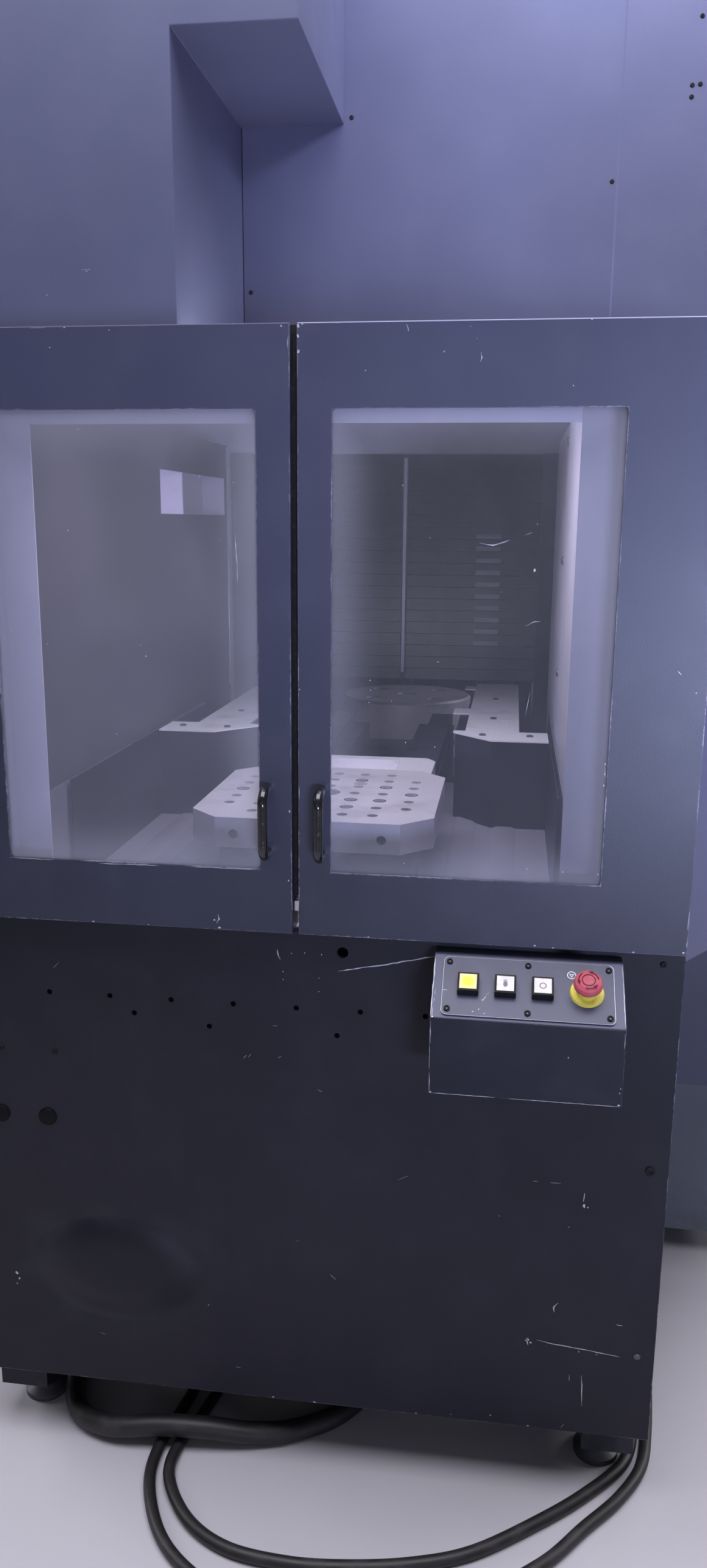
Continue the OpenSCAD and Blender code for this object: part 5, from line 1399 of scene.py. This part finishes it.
@dataclass
class ButtonBox:
    """The push-button box with its sloping plate."""

    left: float = 206.0
    width: float = 268.0
    fold: float = 889.0
    reach: float = 88.0
    drop: float = 89.0
    rise: float = 60.0
    plate_half: Flat = (119.6, 48.25)
    plate_top: float = 2.8
    lens_top: float = 15.1
    cap_top: float = 36.1
    places: tuple = (50.5, 102.5, 154.5, 215.5)

    @property
    def slope(self) -> Flat:
        """Returns the slope's direction along Y and Z."""
        size = math.hypot(self.drop, self.rise)
        return self.drop / size, self.rise / size

    def on_slope(self, x: float, along: float, up: float) -> Vector:
        """Returns a place on the slope: x from the left end, along the slope, up off the plate."""
        ty, tz = self.slope
        y = -self.reach + self.drop / 2 + along * ty - up * tz
        z = self.fold + self.rise / 2 + along * tz + up * ty
        return at(self.left + x, y, z)

    def seat(self, x: float, along: float = 0.0, up: float = 0.0) -> Matrix:
        """Returns the matrix that stands a part on the slope."""
        ty, tz = self.slope
        return facing(self.on_slope(x, along, up), Vector((0, -tz, ty)), UPWARD)

    def symbols(self) -> None:
        """Adds the plain signs: a ring, a palm, three arrows, and a ring round a triangle."""
        _, palm_x, ring_x, stop_x = self.places
        lens, cap, plate = self.lens_top + 0.06, self.cap_top + 0.08, self.plate_top + 0.08
        arrows = [arc_arrow(12.2, 14.6, start, start + 82) for start in (10, 130, 250)]
        for name, work, place, coat, body in (
                ("ring_sign", flat_ring(3.7, 4.9, 28), (ring_x, 0, lens), Plastic.BROWN_MARK, "ring_button"),
                ("palm_sign", palm(), (palm_x, 0, lens), Plastic.GREY_MARK, "hand_button"),
                ("stop_arrows", merge(*arrows, flat_ring(8.3, 9.5, 36)), (stop_x, 0, cap), Plastic.RED_MARK,
                 "stop_button"),
                ("round_sign", merge(flat_ring(5.1, 6.5, 28), flat_ring(2.0, 4.3, 3, -90)),
                 (194.8, 28.2, plate), Plastic.STICKER, "machine")):
            add_piece(name, moved(work, self.seat(*place)), coat, body, smooth=False)

    def build(self) -> None:
        """Dresses the box and everything on it."""
        # The slope above the fold is lightened as painted light.
        coat = Shop.get(Paint.BOX, edges=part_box("button_box"), paler_above=at(0, 0, self.fold).z)
        eased("button_box", coat, 1.4)
        dress_nodes(button_plate=Paint.PLATE, button_bezels=Plastic.BLACK, stop_collar=Plastic.YELLOW_BASE,
                    stop_button=Plastic.RED)
        # Bright line round the plate: partly wear, partly painted highlight.
        add_piece("plate_rim", self.rim_wear_and_highlight(), BareMark((0.5, 0.5, 0.56)).dress("plate_rim_metal"))
        rims = [moved(square_rim(12.9, 14.8, 8.0, self.lens_top - 0.5), self.seat(x)) for x in self.places[:3]]
        add_piece("bezel_rims", merge(*rims), Plastic.BLACK, smooth=False)
        hearts = [self.on_slope(x, 0, self.lens_top) for x in self.places[:3]]
        up = (self.on_slope(0, 1, 0) - self.on_slope(0, 0, 0)).normalized()
        lens = Moulded(linear(214, 182, 128), 0.35, glow=0.4, dust=0.1)
        border = 0.0118
        dress_node("yellow_button", lens.dress("yellow_lens", (hearts[0], 0.0125), (hearts[0], up, border)))
        for name, middle in (("hand", hearts[1]), ("ring", hearts[2])):
            dress_node(f"{name}_button", Shop.get(Plastic.WHITE, name, border=(middle, up, border)))
        out = self.seat(0).to_3x3().col[2]
        screws = [(self.on_slope(x, along, self.plate_top), out)
                  for x in (22.6, 134, 246.5) for along in (-39.1, 39.1)]
        set_parts("plate_screws", socket_screw(4.4, 3.0, 2.3), screws, Plastic.BLACK)
        glint = turned([(1.5, 0.9), (1.5, 1.3), (0.9, 1.5)], 12)
        set_parts("plate_screw_glints", glint, screws, Steel.DARK)
        self.symbols()
        Scars("machine", -self.reach).build("box_marks")
        SlopeScars("machine", 0.0, 0.1, self).build("slope_marks")

    def rim_wear_and_highlight(self) -> BMesh:
        """Makes the bright line along the plate's edge, partly wear and partly a painted highlight."""
        work = bmesh.new()
        (half_w, half_h), radius = self.plate_half, 8.0
        line = []
        for cx, cy, start in ((half_w - radius, half_h - radius, 0), (radius - half_w, half_h - radius, 90),
                              (radius - half_w, radius - half_h, 180), (half_w - radius, radius - half_h, 270)):
            for k in range(7):
                a = math.radians(start + 15 * k)
                line.append((cx + radius * math.cos(a), cy + radius * math.sin(a)))
        chance = random.Random(RIM_SEED)
        rings = []
        for x, y in line:
            thin = chance.uniform(0.1, 0.3) * (0.35 if y > 30 and abs(x) < 110 else 1.0)
            rings.append([work.verts.new((x * k * MM, y * k * MM, h * MM))
                          for k, h in ((1.0012, 1.9), (1.0012, 2.95), (1 - thin / 60, 2.95), (1 - thin / 60, 1.9))])
        join_rings(work, rings + rings[:1], capped=False)
        return moved(work, self.seat(self.width / 2))


@dataclass
class SlopeScars(Scars):
    """Marks on the button box's slope, placed by x from its left end and the way along it."""

    box: Optional[ButtonBox] = None

    def spot(self, x: float, z: float) -> Vector:
        """Returns where a mark's point lies, above the plate where the point is on it."""
        half_w, half_h = self.box.plate_half
        on_plate = abs(x - self.box.width / 2) < half_w and abs(z) < half_h
        return self.box.on_slope(x, z, self.proud + (self.box.plate_top if on_plate else 0.0))


@dataclass
class LoadingBay:
    """What shows behind the windows: walls, guards, tray, pallet and shutter."""

    axis: float = -14.0
    tray_z: float = 966.0

    def build(self) -> None:
        """Dresses the bay and adds its small parts."""
        # The front portal takes the lightened pale paint: painted light.
        dress_nodes(front_portal=Paint.BRIGHT_GREY, left_inner_wall=Paint.SHADOW, bay_guards=Paint.GUARD,
                    rail_covers=Steel.COVER, chip_tray=Paint.TRAY, station_pedestal=Casting.PEDESTAL,
                    pallet=Steel.PALLET, shuttle_head=Steel.COVER, shutter=Paint.LAMELLA,
                    partition_panel=Paint.PALE)
        # The right wall takes the lightened pale paint as painted light, and painted shade darkens it towards the
        # bottom.
        low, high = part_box("right_inner_wall")
        dress_node("right_inner_wall", Shop.get(Paint.BRIGHT_GREY, "right_wall", fade=(low.z, high.z, 0.5, 1.05)))
        self.lamp_box()
        self.ridges()
        self.portal_trim()
        self.shutter_parts()
        self.pallet_parts()
        wall = [(at(390, 680, z), Vector((-1, 0, 0))) for z in (1276, 1490, 1708)]
        set_parts("bay_wall_screws", cross_screw(8, 4), wall, Steel.DARK)
        covers = [(at(self.axis + s * x, y, 1144), UPWARD)
                  for s in (-1, 1) for x, y in ((262, 700), (356, 700), (280, 900), (280, 1180))]
        set_parts("cover_screws", socket_screw(7, 3, 3), covers, Steel.DARK)
        self.spray_pipe()

    def lamp_box(self) -> None:
        """Adds the light box behind the cut-out of the left wall."""
        x0, x1 = -480.0, -421.3
        for name, y0, y1, coat in (("lamp_box", 740, 914, Plastic.LAMP),
                                   ("lamp_box_end", 917, 1282, Plastic.LAMP_END)):
            back = slab((x0, y0, 1567), (x0 + 3, y1, 1666))
            sides = [slab((x0, y, 1567), (x1, y + 3, 1666)) for y in (y0, y1 - 3)]
            lids = [slab((x0, y0, z), (x1, y1, z + 3)) for z in (1567, 1663)]
            add_piece(name, merge(back, *sides, *lids), coat)

    def ridges(self) -> None:
        """Adds the folded ridges of the tray's floor on both sides of the pedestal."""
        for name, x in (("right_tray_ridges", 196.0), ("left_tray_ridges", -366.0)):
            work = bmesh.new()
            ends = [[work.verts.new(at(x + dx, y, self.tray_z + dz))
                     for dx, dz in ((0, 0.1), (9, 3.5), (37, 3.5), (46, 0.1))] for y in (116, 1030)]
            join_rings(work, ends)
            repeat_row(name, work, 2, (78, 0, 0), Paint.TRAY)

    def portal_trim(self) -> None:
        """Adds the pale sheet frame between the doors and the bay, and a pale strip on the left wall's
            rear edge. The frame's paint is lightened as painted light, the right post's trim is darkened,
            most towards the bottom, as painted shade, and the strip is a painted highlight.
        """
        low, high = 968, 1741
        bars = [slab((x0, 44.6, z0), (x1, 46.9, high), 0.6)
                for x0, x1, z0 in ((-440, -388, low), (-387.8, 379.8, 1690), (380, 440, low))]
        add_piece("portal_trim", merge(*bars[:2]), Paint.BRIGHT_GREY)
        fade = (low * MM, high * MM, 0.34, 0.78)
        add_piece("right_post_trim", bars[2], Shop.get(Paint.BRIGHT_GREY, "right_post", fade=fade))
        # Painted highlight: a pale strip along the left wall's rear edge.
        add_piece("wall_edge", slab((-418.7, 1290, 1148), (-417.8, 1299, 1736)), Paint.BRIGHT_GREY)

    def shutter_parts(self) -> None:
        """Adds the shutter's guides, its bright joint strip and painted highlights on its slats."""
        guides = [slab((x - 30, 1466, 967), (x + 30, 1475, 1731))
                  for x in (self.axis + s * 404.5 for s in (-1, 1))]
        add_piece("shutter_guides", merge(*guides), Paint.LAMELLA)
        add_piece("joint_strip", slab((7, 1475.2, 1166), (15, 1475.9, 1720), 0.3), Paint.SEAM, "shutter")
        pitch = (1728 - 1144) / 19
        # Pale strips on ten slats: painted highlights where the slats catch the light.
        rub = bmesh.new()
        ends = [[rub.verts.new(at(x, 1480 + y, 1146 + pitch * 3 + z)) for y, z in
                 ((-0.15, 3), (2.05, 14), (2.5, 14), (0.3, 3))] for x in (198, 262)]
        join_rings(rub, ends)
        repeat_row("slat_rubs", rub, 10, (0, 0, pitch), Paint.RUBBED, "shutter")

    def pallet_parts(self) -> None:
        """Adds the bright bushes of the pallet's holes and its two front plugs."""
        holes = ((-2, -1), (-1, -2), (0, -2), (1, -2), (2, -1), (-2, 1), (-1, 1), (2, 1), (1, 2), (-1, 2),
                 (-1, -1), (1, -1), (0, -3), (3, 0), (-3, 0))
        spots = [(at(self.axis + i * 50, 367 + j * 50, 1095), UPWARD) for i, j in holes]
        bush = turned([(11.5, -1.0), (11.5, 0.35), (10.6, 0.7), (9.3, 0.7), (9.1, -6.0)], 28)
        bush.faces.ensure_lookup_table()
        bmesh.ops.delete(bush, geom=[f for f in bush.faces if len(f.verts) > 4], context="FACES_ONLY")
        set_parts("pallet_bushes", bush, spots, Steel.BRIGHT, "pallet_shuttle")
        front = [(at(self.axis + s * 120, 173, 1067.5), FORWARD) for s in (-1, 1)]
        set_parts("pallet_plugs", socket_screw(7.8, 2.0, 3.4), front, Steel.DARK, "pallet_shuttle")

    def spray_pipe(self) -> None:
        """Adds the short white coolant pipe beside the pallet."""
        line = smooth_route(((196, 150, 966), (196, 150, 984), (198, 151, 1000), (206, 153, 1010), (214, 155, 1012)))
        helper = link("spray_pipe_line", tube("spray_pipe", line, 4, 4))
        mesh = bpy.data.meshes.new_from_object(helper.evaluated_get(bpy.context.evaluated_depsgraph_get()))
        bpy.data.objects.remove(helper)
        add_piece("spray_pipe", mesh, Plastic.STICKER)


@dataclass
class Enclosure:
    """The cabinet's panels, hood, roof and the machine's sides and back."""

    half: float = 1050.0
    front: float = 651.0
    back: float = 3501.0

    def build(self) -> None:
        """Dresses the panels and adds their fasteners."""
        # The hood's and the front wall's colours are darker towards the bottom and lighter at the top: painted light
        # and shade.
        low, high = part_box("hood_housing")
        eased("hood_housing", Shop.get(Paint.HOOD, edges=(low, high), fade=(low.z, high.z, 0.85, 1.12)), 1.6)
        eased("front_wall_panels", Shop.get(Paint.WALL, "front", fade=(1.78, 2.65, 0.6, 1.32)), 1.2)
        sheet = Shop.get(Paint.WALL, "sides", edges=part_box("side_panels"))
        for node, coat, width in (("flared_panels", Paint.WALL, 1.0), ("side_panels", sheet, 1.6),
                                  ("roof_panel", Paint.WALL, 1.6), ("rear_panel", Paint.WALL, 1.0)):
            eased(node, coat, width)
        dress_nodes(station_frame=Paint.FRAME, levelling_feet=Steel.DARK, hose_glands=Steel.DARK)
        front = [(at(x, self.front, z), FORWARD) for x, z in (
            (-18, 2257), (-204, 1971), (566, 2286), (579, 2287), (575, 2390), (566, 2268), (441, 2140))]
        set_parts("wall_screws", cross_screw(4.0, 2.0), front, Plastic.BLACK)
        seam = slab((448.4, self.front - 0.25, 442), (451.6, self.front + 1.2, 2648))
        add_piece("wall_seam_filler", seam, sheet)
        sides = [(at(s * self.half, y, z), Vector((s, 0, 0))) for s in (-1, 1)
                 for y in (700, 1600, 2604, 3450) for z in (230, 900, 1750, 2600)
                 if s < 0 or y in (700, 3450)]
        set_parts("side_screws", cross_screw(8, 3), sides, Steel.DARK)
        rear = [(at(x, self.back, z), BACKWARD) for x in (-990, -20) for z in (700, 1400, 2000, 2600)]
        set_parts("rear_screws", cross_screw(8, 3), rear, Steel.DARK)
        roof = [(at(s * 800, y, 2690), UPWARD) for s in (-1, 1) for y in (850, 3300)]
        plug = turned([(26, -0.5), (26, 5), (22, 8), (9, 8), (8, 3), (2, 3)], 28)
        set_parts("lifting_eyes", plug, roof, Steel.DARK, spin=0.0)
        Scars("machine", 211.0).build("hood_marks")
        self.trim()

    def trim(self) -> None:
        """Adds the covers, latches, louvres and kick plates of the sides and the back."""
        covers = [slab((-self.half - 2.2, y0, z0), (-self.half + 0.3, y1, z1), 1.0)
                  for y0, y1, z0, z1 in ((780, 1960, 420, 1560), (2190, 3380, 420, 1560), (780, 1960, 1700, 2560))]
        add_piece("side_covers", merge(*covers), Paint.WALL)
        latch = turned([(13, -0.4), (13, 0.5), (9, 0.7), (9, 0.2), (2, 0.2)], 24)
        spots = [(at(-self.half - 2.2, y, z), Vector((-1, 0, 0))) for y in (830, 1370, 1910, 2240, 2785, 3330)
                 for z in (470, 1510)]
        set_parts("cover_latches", latch, spots, Steel.BRIGHT)
        blade = slab((-self.half - 2.9, 2360, 1780), (-self.half + 0.2, 3220, 1792), 0.9)
        repeat_row("side_louvres", blade, 22, (0, 0, 32), Paint.SHADOW)
        kicks = [slab((x, 668, 184), (x + 2, 3484, 330), 0.6) for x in (-self.half - 1.8, self.half - 0.2)]
        add_piece("kick_plates", merge(*kicks), Shop.get(Paint.SKIRT, "kick"))
        header = slab((self.half - 0.2, 760, 2290), (self.half + 2.2, 3380, 2570), 1.0)
        add_piece("header_cover", header, Paint.WALL)

@dataclass
class OperatorSide:
    """The sliding door, the control and the cabinet behind the machine."""

    face: float = 1160.0

    def build(self) -> None:
        """Dresses the operator's side and the back."""
        door = Shop.get(Paint.DOOR, "operator", edges=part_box("operator_door"))
        cabinet = Shop.get(Paint.DOOR, "cabinet", edges=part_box("cabinet_door"))
        for node, coat, width, body in (("operator_door", door, 1.0, "operator_door"),
                                        ("control_housing", Paint.PALE, 2.0, "machine"),
                                        ("electrical_cabinet", Paint.WALL, 1.2, "machine"),
                                        ("cabinet_door", cabinet, 0.8, "cabinet_door"),
                                        ("coolant_tank", Casting.BED, 2.0, "machine"),
                                        ("chip_conveyor", Paint.WALL, 2.0, "machine")):
            eased(node, coat, width, body)
        dress_node("operator_window", SafetyPane().dress("operator_pane", *self.pane_box()))
        dress_node("main_switch", Plastic.RED)
        screen = slab((1110.2, 845, 1330), (1111.4, 1257, 1620), 0.4)
        add_piece("control_screen", screen, Plastic.SCREEN)
        self.keys()

    def pane_box(self) -> tuple[Vector, Vector]:
        """Returns the operator window's corners, wide enough that only its height shades it."""
        low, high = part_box("operator_window")
        return low - Vector((0.3, 0, 0)), high + Vector((0.3, 0, 0))

    def keys(self) -> None:
        """Adds the rows of keys and the stop head on the sloping desk."""
        out = Vector((110, 0, 50)).normalized()
        spots = [(at(self.face - 50 * t, 820 + 34 * k, 1130 + 110 * t), out)
                 for t in (0.3, 0.5, 0.7) for k in range(12)]
        key = turned([(9, -0.5), (9, 3), (8, 4)], 20)
        set_parts("desk_keys", key, spots, Plastic.KEY, spin=0.0)
        head = turned([(14, -0.5), (14, 10), (20, 12), (20, 18), (16, 22), (4, 23)], 28)
        set_parts("desk_stop", head, [(at(1135, 1285, 1185), out)], Plastic.RED, spin=0.0)


@dataclass
class Machinery:
    """The castings and moving units inside the cabinet."""

    def build(self) -> None:
        """Dresses the castings, rails, spindle and magazine."""
        dress_nodes(bed_casting=Casting.BED, guide_rails=Steel.RAIL, table_saddle=Casting.BED,
                    rotary_table=Steel.PALLET, column=Casting.COLUMN, spindle_head=Casting.COLUMN,
                    spindle=Steel.TOOL, magazine_bridge=Casting.MAGAZINE, magazine_carriage=Casting.MAGAZINE,
                    magazine_disc=Steel.COVER, tool_holders=Steel.TOOL)


def main() -> None:
    logging.basicConfig(level=logging.INFO, format="%(message)s")
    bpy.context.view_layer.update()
    Studio().build()
    FloorHoses().build()
    for unit in (LoadingDoors(), FrontPanel(), ButtonBox(), LoadingBay(), Enclosure(), OperatorSide(),
                 Machinery()):
        LOG.info("building %s", type(unit).__name__)
        unit.build()


if __name__ == "__main__":
    main()
